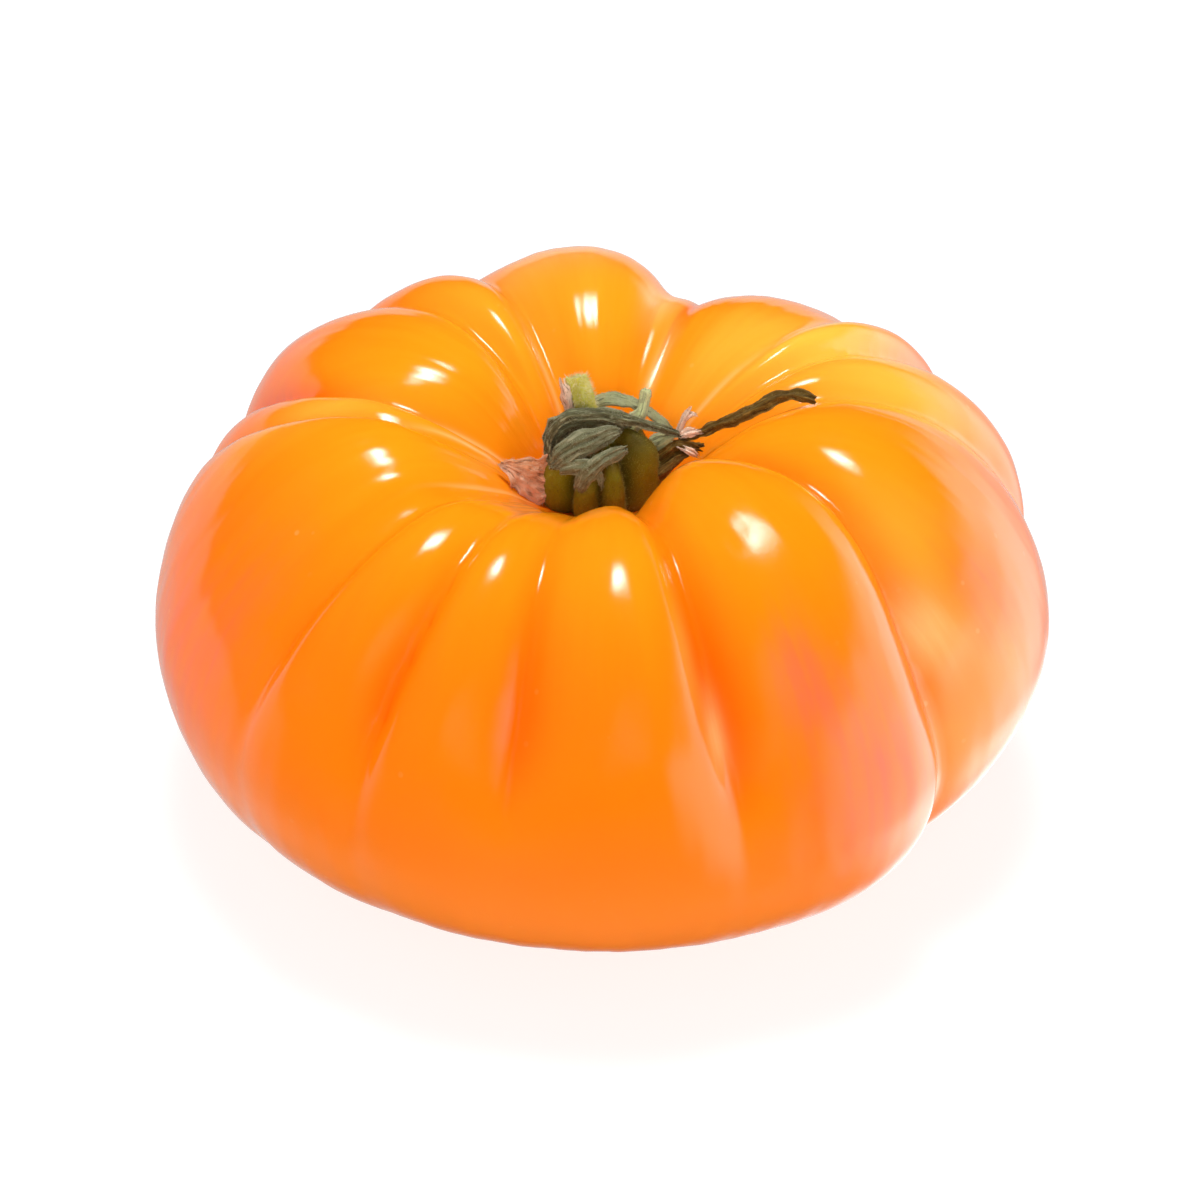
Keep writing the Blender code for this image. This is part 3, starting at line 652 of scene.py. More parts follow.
# ---------------------------------------------------------------- the sepals
# Every sepal is one blade or more. A blade has changes to BLADE_LOOK and stations: a point on the
# middle line, half width, curl of the edges and direction that the outer face looks in. A short
# station carries on the curl and the direction of the one before.
SEPALS = {
    "sepal_hood": [
        (dict(ridges=2.0, ridge_height=0.12, crumple=0.12, thickness=0.6, edge=0.5, twist=15), [
            ((-6.4, -3.5, 51.2), 0.75, 0.35, (-1.0, -0.4, 0.3)),
            ((-6.5, -3.2, 52.6), 0.65, 0.4, (-1.0, -0.3, 0.4)),
            ((-6.3, -3.0, 54.2), 0.6, 0.4, (-1.0, -0.3, 0.5)),
            ((-5.5, -3.0, 56.1), 0.65, 0.45, (-0.9, -0.3, 0.6)),
            ((-3.7, -3.0, 57.5), 0.65, 0.45, (-0.5, -0.4, 1.0)),
            ((-1.1, -2.7, 57.6), 0.65, 0.45, (-0.1, -0.5, 1.0)),
            ((1.5, -2.6, 57.0), 0.65, 0.4, (0.1, -0.5, 1.0)),
            ((4.2, -2.0, 55.8), 0.6, 0.4, (0.3, -0.5, 1.0)),
            ((7.5, -1.3, 54.1), 0.5, 0.3, (0.4, -0.5, 1.0)), ((9.8, -0.7, 52.8), 0.35, 0.2),
        ]),
        (dict(ridges=6.0, ridge_height=0.16, crumple=0.35, thickness=0.4, ragged=0.6), [
            ((-6.1, -2.9, 52.2), 1.3, 0.15, (-0.9, -0.7, 0.3)),
            ((-5.7, -2.4, 53.8), 1.8, 0.15, (-0.6, -0.9, 0.3)),
            ((-4.2, -2.2, 55.1), 1.9, 0.15, (-0.2, -0.9, 0.3)),
            ((-1.6, -1.9, 55.5), 1.9, 0.15, (0.0, -0.9, 0.3)),
            ((1.0, -1.6, 55.2), 1.8, 0.15, (0.1, -0.9, 0.3)),
            ((3.4, -1.3, 54.3), 1.4, 0.15, (0.2, -0.9, 0.3)),
        ]),
    ],
    "sepal_upper_fold": [
        (dict(ridges=4.0, ridge_height=0.16, rib=0.25, crumple=0.2, ragged=0.35), [
            ((-6.1, -5.8, 52.2), 0.5, 0.25, (-0.5, -0.8, 0.5)), ((-5.6, -6.1, 52.9), 1.0, 0.3),
            ((-4.8, -6.3, 54.0), 1.35, 0.35, (-0.3, -0.8, 0.5)),
            ((-2.8, -6.0, 55.2), 1.55, 0.4, (-0.1, -0.8, 0.6)),
            ((-0.6, -5.6, 56.0), 1.45, 0.4, (0.1, -0.7, 0.7)),
            ((1.1, -5.1, 56.5), 0.95, 0.35, (0.3, -0.6, 0.7)), ((2.1, -4.8, 56.4), 0.4),
        ]),
        (dict(ridges=2.0, ridge_height=0.1, crumple=0.25), [
            ((-5.0, -6.9, 52.3), 0.5, 0.25, (-0.2, -0.9, 0.5)),
            ((-3.7, -7.2, 52.9), 0.8, 0.3, (-0.1, -0.9, 0.5)),
            ((-2.3, -7.4, 53.3), 0.8, 0.3, (0.0, -0.9, 0.5)),
            ((-1.1, -7.4, 53.8), 0.5, 0.3, (0.1, -0.9, 0.5)),
        ]),
    ],
    "sepal_lower_fold": [
        (dict(ridges=3.0, ridge_height=0.12, rib=0.15, crumple=0.22, ragged=0.5), [
            ((-2.8, -7.6, 50.0), 0.7, 0.25, (-0.3, -1.0, 0.3)), ((-2.4, -8.0, 51.3), 0.95),
            ((-1.8, -8.1, 52.5), 1.1, 0.35, (-0.2, -0.9, 0.5)),
            ((-0.8, -8.1, 53.7), 1.1, 0.4, (0.0, -0.9, 0.5)),
            ((0.4, -7.9, 54.7), 0.95, 0.4, (0.1, -0.8, 0.6)),
            ((1.8, -7.5, 55.3), 0.8, 0.35, (0.2, -0.7, 0.7)),
            ((2.9, -7.0, 55.4), 0.4, 0.3, (0.3, -0.6, 0.7)),
        ]),
        (dict(ridges=1.0, ridge_height=0.05, crumple=0.3, thickness=0.35, ragged=1.0, across=8), [
            ((-0.5, -8.0, 53.2), 0.5, 0.1, (0.0, -1.0, 0.3)), ((-0.2, -8.3, 52.1), 0.45),
            ((-0.1, -8.4, 51.0), 0.2),
        ]),
    ],
    "sepal_rear_arch": [
        (dict(ridges=3.0, ridge_height=0.1, rib=0.15, crumple=0.2, bleach=0.33), [
            ((-3.0, 5.0, 50.9), 0.9, 0.2, (-0.6, 0.3, 0.8)),
            ((-1.8, 5.5, 52.9), 1.0, 0.3, (-0.3, 0.0, 1.0)),
            ((0.0, 5.2, 54.1), 1.05, 0.35, (-0.1, -0.2, 1.0)),
            ((2.0, 4.8, 54.5), 1.05, 0.4, (0.2, -0.2, 1.0)),
            ((4.4, 4.2, 54.0), 0.95, 0.35, (0.5, -0.1, 1.0)),
            ((6.6, 3.7, 52.4), 0.85, 0.3, (0.7, 0.0, 1.0)), ((8.4, 3.2, 50.9), 0.6, 0.2),
        ]),
    ],
    "sepal_upright": [
        (dict(ridges=2.0, ridge_height=0.08, thickness=0.7, edge=0.6, crumple=0.14, ragged=0.4,
              bleach=0.95), [
            ((2.6, 0.6, 52.6), 1.3, 0.3, (-0.2, -1.0, 0.3)), ((3.6, 0.9, 53.6), 1.15),
            ((4.4, 1.1, 54.5), 0.8), ((4.8, 1.3, 55.3), 0.6), ((5.05, 1.6, 56.4), 0.55, 0.2),
            ((5.25, 1.8, 57.4), 0.65, 0.1), ((5.3, 1.85, 57.8), 0.45),
        ]),
        (dict(ridges=2.0, ridge_height=0.08, thickness=0.4, crumple=0.25, ragged=0.5,
              bleach=0.55), [
            ((5.8, -0.9, 51.4), 0.9, 0.1, (0.1, -0.8, 0.6)), ((6.7, -0.9, 52.0), 1.1),
            ((7.6, -0.9, 52.6), 0.9), ((8.6, -0.9, 53.0), 0.4),
        ]),
    ],
    "sepal_long": [
        (dict(ridges=2.0, ridge_height=0.18, thickness=0.7, edge=0.55, crumple=0.26,
              crumple_size=0.8, ragged=0.5, twist=80, wave=0.3), [
            ((9.6, -0.2, 52.0), 0.35, 0.2, (0.0, -0.9, 0.5)), ((11.0, 0.4, 52.1), 0.5),
            ((12.6, 0.8, 52.7), 0.6, 0.35, (0.1, -0.8, 0.6)),
            ((14.6, 0.7, 53.9), 0.7, 0.35, (-0.2, -0.6, 0.8)),
            ((17.2, 0.5, 55.5), 0.75, 0.4, (-0.2, -0.4, 0.9)),
            ((19.8, 0.2, 57.2), 0.8, 0.4, (-0.1, -0.4, 0.9)),
            ((21.8, 0.0, 58.2), 0.65, 0.35, (0.1, -0.3, 1.0)),
            ((23.6, -0.2, 58.3), 0.65, 0.25, (0.2, -0.3, 1.0)),
            ((25.2, -0.4, 57.9), 0.5, 0.1, (0.3, -0.3, 1.0)),
        ]),
    ],
    "sepal_right_twist": [
        (dict(ridges=2.0, ridge_height=0.16, thickness=0.6, crumple=0.3, twist=70, ragged=0.6), [
            ((6.2, -2.0, 48.4), 1.3, 0.2, (0.5, -0.7, 0.4)), ((7.4, -1.7, 49.3), 1.2),
            ((9.0, -1.2, 50.4), 1.0, 0.3, (0.3, -0.8, 0.5)),
            ((10.3, -0.9, 51.1), 0.8, 0.3, (0.0, -0.9, 0.4)),
            ((11.8, -0.7, 51.5), 0.4, 0.1, (-0.2, -0.9, 0.3)),
        ]),
        (dict(ridges=2.0, ridge_height=0.12, thickness=0.5, crumple=0.3, ragged=0.8, twist=-60), [
            ((6.4, -1.7, 50.2), 0.6, 0.2, (0.1, -0.9, 0.5)), ((7.5, -1.6, 51.2), 0.6),
            ((8.8, -1.5, 52.1), 0.55, 0.3, (0.0, -0.9, 0.5)), ((10.0, -1.4, 52.0), 0.5),
            ((11.6, -1.2, 51.2), 0.35, 0.1),
        ]),
        (dict(ridges=1.0, ridge_height=0.08, thickness=0.4, crumple=0.3, ragged=0.8), [
            ((6.3, -3.2, 48.6), 0.6, 0.2, (0.4, -0.8, 0.4)),
            ((7.6, -2.9, 49.6), 0.55, 0.2, (0.3, -0.8, 0.5)),
            ((9.0, -2.4, 50.6), 0.45, 0.2, (0.2, -0.9, 0.4)),
            ((10.2, -2.0, 51.0), 0.25, 0.1, (0.0, -0.9, 0.3)),
        ]),
    ],
    "sepal_papery": [
        (dict(ridges=6.0, ridge_height=0.12, thickness=0.35, edge=0.5, crumple=0.4, wave=0.3,
              crumple_size=1.1, ragged=0.5, across=22, bleach=0.2, fade=0.4), [
            ((-5.9, -4.2, 48.2), 3.3, 0.1, (-0.4, -0.9, 0.5)),
            ((-7.4, -4.6, 49.0), 3.4, 0.1, (-0.3, -0.9, 0.5)),
            ((-8.6, -5.0, 49.9), 2.9, 0.1, (-0.1, -0.9, 0.5)),
            ((-9.6, -5.1, 50.8), 1.9, 0.12, (0.0, -0.9, 0.5)),
            ((-10.9, -5.1, 51.4), 0.95, 0.12, (0.1, -0.9, 0.5)),
            ((-12.1, -5.0, 51.8), 0.25, 0.05),
        ]),
    ],
}
# Pale dry shreds: a torn strip up the stalk's left side, then a forked tip and two bits beside
# the long sepal's foot.
SHREDS = [
    (dict(ridges=1.0, thickness=0.35, crumple=0.3, ragged=0.8, wave=0.4, bleach=0.85), [
        ((-3.3, 0.7, 52.6), 0.8, 0.1, (-0.4, -0.9, 0.2)), ((-3.6, 0.8, 54.2), 0.75),
        ((-4.0, 1.0, 56.4), 0.65), ((-4.4, 1.2, 58.0), 0.7), ((-4.7, 1.4, 59.0), 0.35),
    ]),
    (dict(ridges=1.0, thickness=0.3, crumple=0.25, ragged=0.5, bleach=0.9), [
        ((9.0, -0.5, 53.2), 0.4, 0.2, (-0.3, -0.9, 0.3)), ((9.5, -0.5, 54.6), 0.35),
        ((9.9, -0.5, 55.7), 0.4, 0.2, (-0.2, -0.9, 0.3)), ((10.3, -0.5, 56.6), 0.2),
    ]),
    (dict(ridges=1.0, thickness=0.3, crumple=0.25, ragged=0.5, bleach=0.9), [
        ((9.8, -0.6, 55.1), 0.25, 0.1, (0.0, -0.9, 0.5)), ((10.5, -0.6, 55.9), 0.35),
        ((11.1, -0.7, 55.9), 0.15),
    ]),
    (dict(ridges=2.0, thickness=0.35, crumple=0.35, ragged=0.8, bleach=1.0), [
        ((9.4, -1.2, 53.3), 0.35, 0.1, (0.0, -0.9, 0.5)), ((10.3, -1.3, 53.8), 0.65),
        ((11.4, -1.3, 53.9), 0.3),
    ]),
    (dict(ridges=2.0, thickness=0.35, crumple=0.35, ragged=0.8, bleach=1.0), [
        ((9.6, -2.1, 52.0), 0.3, 0.1, (0.0, -0.9, 0.5)), ((10.5, -2.2, 51.6), 0.5),
        ((11.3, -2.1, 51.0), 0.2),
    ]),
]
SEPAL_SLOTS = {
    "sepal_hood": "sepal_dark",
    "sepal_upper_fold": "sepal_grey",
    "sepal_lower_fold": "sepal_grey",
    "sepal_rear_arch": "sepal_grey",
    "sepal_upright": "sepal_grey",
    "sepal_long": "sepal_brown",
    "sepal_right_twist": "sepal_brown",
    "sepal_papery": "sepal_papery",
    "shreds": "sepal_papery",
}
# Colours of the hub and the stalk: dry, fresh, edge, palest, and their hairs' dark and light.
HUB_EDGES = (0.30, 0.21, 0.008)
HUB_HAIR = (0.14, 0.10, 0.005), (0.34, 0.26, 0.05)
STALK_COLOURS = (0.52, 0.40, 0.07), (0.60, 0.62, 0.08), (0.85, 0.80, 0.32), (0.85, 0.80, 0.32)
STALK_HAIR = (0.50, 0.46, 0.18), (0.80, 0.74, 0.46)
# The same of each sepal finish, then how long its hairs are against the longest.
SEPAL_COLOURS = {
    "sepal_dark": ((0.060, 0.042, 0.018), (0.120, 0.125, 0.055), (0.42, 0.42, 0.24),
                   (0.30, 0.32, 0.16), (0.10, 0.10, 0.05), (0.36, 0.34, 0.22), 0.7),
    "sepal_grey": ((0.120, 0.090, 0.040), (0.165, 0.185, 0.095), (0.36, 0.35, 0.22),
                   (0.72, 0.76, 0.38), (0.20, 0.20, 0.10), (0.46, 0.45, 0.30), 0.7),
    "sepal_brown": ((0.090, 0.040, 0.004), (0.130, 0.080, 0.010), (0.34, 0.20, 0.04),
                    (0.55, 0.40, 0.10), (0.10, 0.05, 0.01), (0.30, 0.20, 0.06), 0.4),
    "sepal_papery": ((0.58, 0.20, 0.070), (0.60, 0.29, 0.15), (0.72, 0.46, 0.29),
                     (0.95, 0.72, 0.56), (0.40, 0.22, 0.12), (0.75, 0.55, 0.42), 0.7),
}


# ---------------------------------------------------------------- finishes
def new_material(name):
    """A material, its tree and the position on the piece."""
    material = bpy.data.materials.new(name)
    material.use_nodes = True
    tree = Tree(material.node_tree)
    return material, tree, tree.node("ShaderNodeTexCoord", {}, {}, "Object")


def close_material(tree, inputs):
    """Ends a material with its surface shader."""
    surface = tree.node("ShaderNodeBsdfPrincipled", {}, inputs)
    tree.add("ShaderNodeOutputMaterial", {}, {"Surface": surface})


# Where the skin is flushed: angle, place, half width in degrees, half length, strength.
BLUSHES = [
    (298.5, 0.370, 4.0, 0.045, 0.9),
    (303.0, 0.440, 8.5, 0.060, 0.75),
    (311.0, 0.470, 7.0, 0.060, 0.4),
    (305.0, 0.520, 9.0, 0.060, 0.5),
    (200.0, 0.480, 16.0, 0.10, 0.75),
    (209.0, 0.420, 5.0, 0.06, 0.5),
    (337.0, 0.410, 4.5, 0.06, 0.8),
    (151.0, 0.400, 10.0, 0.08, 0.5),
    (100.0, 0.520, 14.0, 0.08, 0.6),
    (45.0, 0.500, 12.0, 0.08, 0.6),
]
# Where the skin is painted yellower and paler, in the same way: partly its own tone, partly a painted
# sheen.
PALE_AND_SHEEN_PATCHES = [
    (13.0, 0.29, 13.0, 0.10, 0.7),
    (30.0, 0.24, 11.0, 0.10, 0.75),
    (48.0, 0.18, 10.0, 0.08, 0.4),
    (331.0, 0.32, 8.0, 0.06, 0.3),
    (178.0, 0.27, 8.0, 0.08, 0.55),
    (112.0, 0.22, 26.0, 0.10, 0.2),
    (322.0, 0.50, 8.0, 0.07, 0.4),
]
# Painted sheen: soft reflections painted as pale bands on the lobes' flanks and rims, in the same way.
SHEEN_BANDS = [
    (283.0, 0.335, 1.5, 0.045, 0.12),
    (285.8, 0.405, 1.5, 0.035, 0.50),
    (325.0, 0.395, 4.5, 0.040, 0.50),
    (335.0, 0.460, 5.0, 0.050, 0.25),
    (97.0, 0.270, 13.0, 0.035, 0.35),
    (75.0, 0.235, 4.0, 0.045, 0.55),
]
# Pale corky lines that run up the valleys from the stalk: angle and half width in degrees.
PALE_LINES = [
    (34, 1.5), (68, 2.5), (115, 1.5), (176, 1.5), (186, 1.2), (216, 1.0), (244, 1.0), (330, 1.5),
]


def skin_material(look):
    """Glossy orange skin: streaks, blushes, pale lines at the stalk, a tan base, painted shade of
    redder orange in the creases and the hollow, and painted sheen in pale patches and bands.
    """
    material, tree, spot = new_material("Ripe skin")
    turn = tree.attribute("turn", "Vector")
    place, crease = tree.attribute("place"), tree.attribute("crease")
    east, north, _ = tree.split(turn)

    def around(angle, half):
        """1 at an angle and falling off to both sides, by half width in degrees."""
        facing = (math.cos(math.radians(angle)), math.sin(math.radians(angle)), 0.0)
        off = 1.0 - tree.vector("DOT_PRODUCT", turn, facing, output="Value")
        return (off * (-2.0 / math.radians(half) ** 2)).math("EXPONENT")

    def streaks(round_it, down_it, detail, roughness):
        """Noise drawn out along the lobes, with so many clouds round the fruit and down it."""
        spread = tree.join(east * round_it, north * round_it, place * down_it)
        return tree.noise(spread, 1.0, detail, roughness)

    fibres = streaks(22.0, 7.0, 4.0, 0.6)
    broad = streaks(5.0, 3.0, 3.0, 0.5)
    clouds = tree.noise(spot, 0.012, 3.0, 0.5)

    gold = (0.18 + 0.7 * place.bell(0.16, 0.12) + (broad - 0.5) * 1.1 + (fibres - 0.5) * 0.5)
    colour = tree.tint(gold, look.orange, look.gold)
    colour = tree.tint((place + (fibres - 0.5) * 0.08).rise(0.24, 0.40) * 0.9, colour, look.ripe)
    # Painted shade: redder, deeper orange painted into the creases, with more of it down the sides.
    painted_shade = crease.rise(0.9, 4.2) * (0.55 + 0.6 * place.rise(0.2, 0.5))
    colour = tree.tint(painted_shade, colour, look.painted_shade)
    colour = tree.tint(place.rise(0.46, 0.60) * 0.8, colour, look.base_tan)

    def patches(table):
        """Sum of the table's patches."""
        total = 0.0
        for angle, where, half, length, strength in table:
            total = around(angle, half) * place.bell(where, length) * strength + total
        return total

    # Yellower patches: partly the skin's own tone, partly a painted sheen of soft reflections.
    colour = tree.tint(patches(PALE_AND_SHEEN_PATCHES) * (0.5 + broad), colour, look.straw_and_sheen)
    # Painted sheen: pale cream bands that stand in for soft reflections.
    sheen_bands = patches(SHEEN_BANDS) * (0.55 + fibres)
    colour = tree.tint(sheen_bands.math("MINIMUM", 0.9), colour, look.cream_and_sheen)
    stripes = streaks(30.0, 6.0, 3.0, 0.45)
    mottle = tree.noise(spot, 0.006, 3.0, 0.6)
    flush = patches(BLUSHES) * (0.6 + 0.5 * stripes.rise(0.30, 0.70) + (mottle - 0.5) * 0.9)
    flush = flush + (clouds - 0.62) * 0.35 * place.bell(0.42, 0.2)
    colour = tree.tint(flush * look.blush_strength, colour, look.blush)

    pale = 0.0
    for angle, half in PALE_LINES:
        pale = around(angle, half) + pale
    pale = pale * place.bell(0.12, 0.055) * (0.2 + 1.2 * fibres)
    # Painted shade: deeper orange painted into the hollow round the stalk.
    hollow = (1.0 - place.rise(0.045, 0.11)) * 0.75
    colour = tree.tint(hollow, colour, look.painted_shade)
    colour = tree.tint((pale * 0.6).math("MINIMUM", 0.8), colour, look.cream_and_sheen)

    speck = tree.node("ShaderNodeTexVoronoi", {"feature": "F1"}, {"Vector": spot, "Scale": 260.0})
    dots = (1.0 - speck.rise(0.05, 0.12)) * clouds.rise(0.5, 0.7) * 0.18
    colour = tree.tint(dots, colour, look.cream_and_sheen)

    rough_patch = around(302.0, 4.0) * place.bell(0.262, 0.018)
    pores = tree.noise(spot, 0.00035, 2.0, 0.6)
    ripple = tree.noise(spot, 0.0022, 2.0, 0.5)
    bump = tree.node("ShaderNodeBump", {}, {
        "Strength": 1.0, "Distance": 0.00002,
        "Height": pores * (0.10 + rough_patch * 0.8) + ripple * 0.9 + fibres * 0.4})
    close_material(tree, {
        "Base Color": colour, "Roughness": look.roughness + (broad - 0.5) * 0.06 + rough_patch * 0.1,
        "Specular IOR Level": 0.5, "IOR": 1.46, "Subsurface Weight": 0.12,
        "Subsurface Radius": (1.0, 0.35, 0.05), "Subsurface Scale": 0.004, "Normal": bump})
    return material


def calyx_material(name, dry, fresh, edge, pale, freshness, wrinkle):
    """Calyx tissue: clouded fresh and dry, with streaks along a leaf, light edges and dark pits, and
    painted shade in the hub's creases and under its hood.
    """
    material, tree, spot = new_material(name)
    across, along, bleach = tree.split(tree.attribute("leaf", "Vector"))
    patches = tree.noise(spot, 0.0035, 3.0, 0.6)
    fine = tree.noise(spot, 0.0009, 4.0, 0.65)
    grain = tree.noise(spot, 0.0003, 3.0, 0.7)
    veins = tree.noise(tree.join(across * 3.5, along * 0.35, bleach * 9.0), 1.0, 3.0, 0.6)
    rim = (across * across).rise(0.55, 1.0) * fine.rise(0.35, 0.6)
    light = fine.rise(0.52, 0.75) * 0.5 + veins.rise(0.52, 0.68) * 0.7
    colour = tree.tint(patches.rise(0.25, 0.75) * 0.5 + freshness - 0.25, dry, fresh)
    colour = tree.tint(bleach * (0.5 + fine), colour, pale)
    colour = tree.tint(light.math("MINIMUM", 0.9), colour, edge)
    colour = tree.tint(rim * 0.7, colour, edge)
    # Darker veins and pits; then painted shade in the hub's creases, and a painted shadow on the hub's
    # upper part, where the hood hangs over it.
    dark = tuple(0.16 * part for part in dry)
    for shade in ((1.0 - veins.rise(0.34, 0.46)) * 0.65, (1.0 - grain.rise(0.25, 0.45)) * 0.5,
                  tree.attribute("crease").rise(0.3, 1.6) * 0.75,
                  tree.attribute("place").bell(0.22, 0.10) * 0.7):
        colour = tree.tint(shade, colour, dark)
    bump = tree.node("ShaderNodeBump", {}, {"Strength": 1.0, "Distance": wrinkle,
                                            "Height": fine + grain * 0.5 + veins})
    close_material(tree, {"Base Color": colour, "Roughness": 0.55 + fine * 0.3, "Normal": bump,
                          "Specular IOR Level": 0.25})
    return material


def hair_material(name, dark, light):
    """Glossy hairs, darker in some places than in others."""
    material, tree, spot = new_material(name)
    shade = tree.noise(spot, 0.0012, 1.0)
    close_material(tree, {"Base Color": tree.tint(shade.rise(0.3, 0.7), dark, light),
                          "Roughness": 0.5 + shade * 0.2, "Specular IOR Level": 0.4})
    return material


def floor_material(colour, glow):
    """Matt pale floor with the faintest clouding, which gives off a little light."""
    material, tree, spot = new_material("Pale floor")
    shade = tree.noise(spot, 0.4, 2.0)
    tinted = tree.tint(shade * 0.06, colour, (0.8, 0.8, 0.8))
    close_material(tree, {"Base Color": tinted, "Roughness": 0.9 + shade * 0.05,
                          "Specular IOR Level": 0.1, "Emission Color": (1.0, 1.0, 1.0),
                          "Emission Strength": glow})
    return material


# ---------------------------------------------------------------- the stage
FRONT_PANEL = (0.0, -0.9, 0.55), 0.8, 0.5      # place, width, height
PANEL_TARGET = (0.0, 0.0, 0.03)
PANEL_PEAK = 3.15             # brightness in the middle of a panel, against an even one
PANEL_FADE = 0.32             # how far from the middle it fades, as a share of the panel's side
CAMERA_TARGET = (0.0, 0.0, 0.028)
CAMERA_SHIFT = (-0.0017, -0.0025)
SENSOR_WIDTH = 36.0


# ---------------------------------------------------------------- settings
def property_maker(kind, **options):
    """Function that makes settings of one kind."""
    def make(name, description, value):
        return kind(name=name, description=description, default=value, **options)
    return make


as_colour = property_maker(FloatVectorProperty, size=3, subtype="COLOR", min=0.0, max=1.0)
as_count = property_maker(IntProperty, min=1)
as_length = property_maker(FloatProperty, min=0.0, unit="LENGTH")
as_share = property_maker(FloatProperty, min=0.0, max=2.0, subtype="FACTOR")
as_amount = property_maker(FloatProperty, min=0.0)
as_power = property_maker(FloatProperty, min=0.0, unit="POWER")
as_angle = property_maker(FloatProperty, subtype="ANGLE", unit="ROTATION")
as_lens = property_maker(FloatProperty, min=10.0, subtype="DISTANCE_CAMERA")


class FruitSettings(bpy.types.PropertyGroup):
    columns: as_count("Columns", "Faces round the fruit", 480)
    rings: as_count("Rings", "Faces from the top to the base", 190)
    fullness: as_share("Fullness", "Below 1, lobes are full and creases narrow", 0.62)
    crease_softness: as_length("Crease Softness", "Width that a crease is rounded over", 0.0008)
    depth_ratio: as_share("Depth Ratio", "Front-to-back size against side-to-side size", 0.94)
    wave_height: as_length("Wave Height", "Height of the slow waves in the skin", 0.0007)
    wave_size: as_length("Wave Size", "Distance from wave to wave", 0.016)
    grain_height: as_length("Grain Height", "Height of the furrows along the lobes", 0.00025)
    orange: as_colour("Orange", "Skin colour on the shoulders", (1.0, 0.235, 0.002))
    gold: as_colour("Gold", "Skin colour on top of the lobes", (1.0, 0.300, 0.005))
    ripe: as_colour("Ripe Orange", "Skin colour down the sides", (1.0, 0.186, 0.002))
    # Colour of the painted shade in the creases and the hollow.
    painted_shade: as_colour("Deep Orange", "Skin colour in the creases and the hollow", (0.95, 0.120, 0.0))
    base_tan: as_colour("Tan", "Skin colour round the base", (0.90, 0.228, 0.030))
    # Straw colour of the paler patches, which are partly painted sheen.
    straw_and_sheen: as_colour("Straw", "Paler patches of the skin", (1.0, 0.520, 0.060))
    blush: as_colour("Blush", "Coral flush", (0.97, 0.150, 0.048))
    # Cream of the corky lines and specks, and of the painted sheen bands.
    cream_and_sheen: as_colour("Cream", "Palest bands, corky lines and specks", (1.0, 0.620, 0.240))
    blush_strength: as_share("Blush Strength", "How strongly the flushes show", 0.85)
    roughness: as_share("Roughness", "Gloss of the skin, 0 for a mirror", 0.13)


class CalyxSettings(bpy.types.PropertyGroup):
    hub_columns: as_count("Hub Columns", "Faces round the hub", 260)
    hub_rings: as_count("Hub Rings", "Faces from the hub's top to its foot", 90)
    hair_length: as_length("Hair Length", "Length of the longest hairs", 0.00045)
    hair_thickness: as_length("Hair Thickness", "Thickness of a hair at its root", 0.000018)
    hair_density: as_amount("Hair Density", "Hairs to a square metre", 2.4e7)
    hair_seed: as_count("Hair Seed", "Number that the hairs are scattered from", 11)
    green: as_colour("Green", "Fresh tissue of the hub", (0.20, 0.20, 0.004))
    olive: as_colour("Olive", "Dry tissue of the hub", (0.17, 0.095, 0.002))


class StageSettings(bpy.types.PropertyGroup):
    floor_colour: as_colour("Floor", "Colour of the floor", (0.35, 0.35, 0.35))
    floor_glow: as_amount("Floor Glow", "Light that the floor gives off", 0.75)
    floor_size: as_length("Floor Size", "Side of the floor", 6.0)
    box_size: as_length("Softbox Size", "Side of the softbox overhead", 0.30)
    box_height: as_length("Softbox Height", "Height of the softbox", 0.75)
    box_power: as_power("Softbox Power", "Power of the softbox", 4.0)
    front_power: as_power("Front Power", "Power of the panel beside the camera", 3.4)
    wall_light: as_amount("Wall Light", "Brightness of the wall on the right", 2.2)
    table_light: as_amount("Table Light", "Brightness of the table in reflections", 0.65)
    room_light: as_amount("Room Light", "Brightness of the room", 0.34)
    left_light: as_amount("Left Light", "How much brighter the room is on the left", 0.35)
    distance: as_length("Camera Distance", "From the camera to the fruit", 0.48)
    elevation: as_angle("Camera Elevation", "Angle of the camera above the floor", math.radians(38.0))
    focal_length: as_lens("Focal Length", "Focal length of the lens", 117.2)


# ---------------------------------------------------------------- operators
def attach(piece, slot, *nodes):
    """Puts a piece on the fruit's body and hides the solids that it stands for; the slot is not used.
    """
    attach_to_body(piece, "root")
    if nodes:
        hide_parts(*nodes)


def grow_lobed(name, profile, lobes, dents, values, material):
    """Lobed body from its section and lobes, whose two guides are removed afterwards."""
    guides = [section_object(name + "_section", profile), lobes_object(name + "_lobes", lobes)]
    body = grow(name, lobed_body_group(name, dents), {
        "Section": guides[0], "Lobes": guides[1], "Base Height": profile[-1][1] * MM,
        "Finish": material, **values})
    for guide in guides:
        bpy.data.objects.remove(guide)
    return body


def add_hairs(surface, slot, density, length, lean, seed, material):
    """Adds hairs on a surface, as a piece of their own."""
    look = bpy.context.scene.tomato_calyx
    group = bpy.data.node_groups.get("Plant hairs") or hairs_group()
    hairs = grow(surface.name + "_hairs", group, {
        "Density": density, "Length": length, "Thickness": look.hair_thickness, "Lean": lean,
        "Seed": seed, "Finish": material}, surface.data.copy())
    attach(hairs, slot)


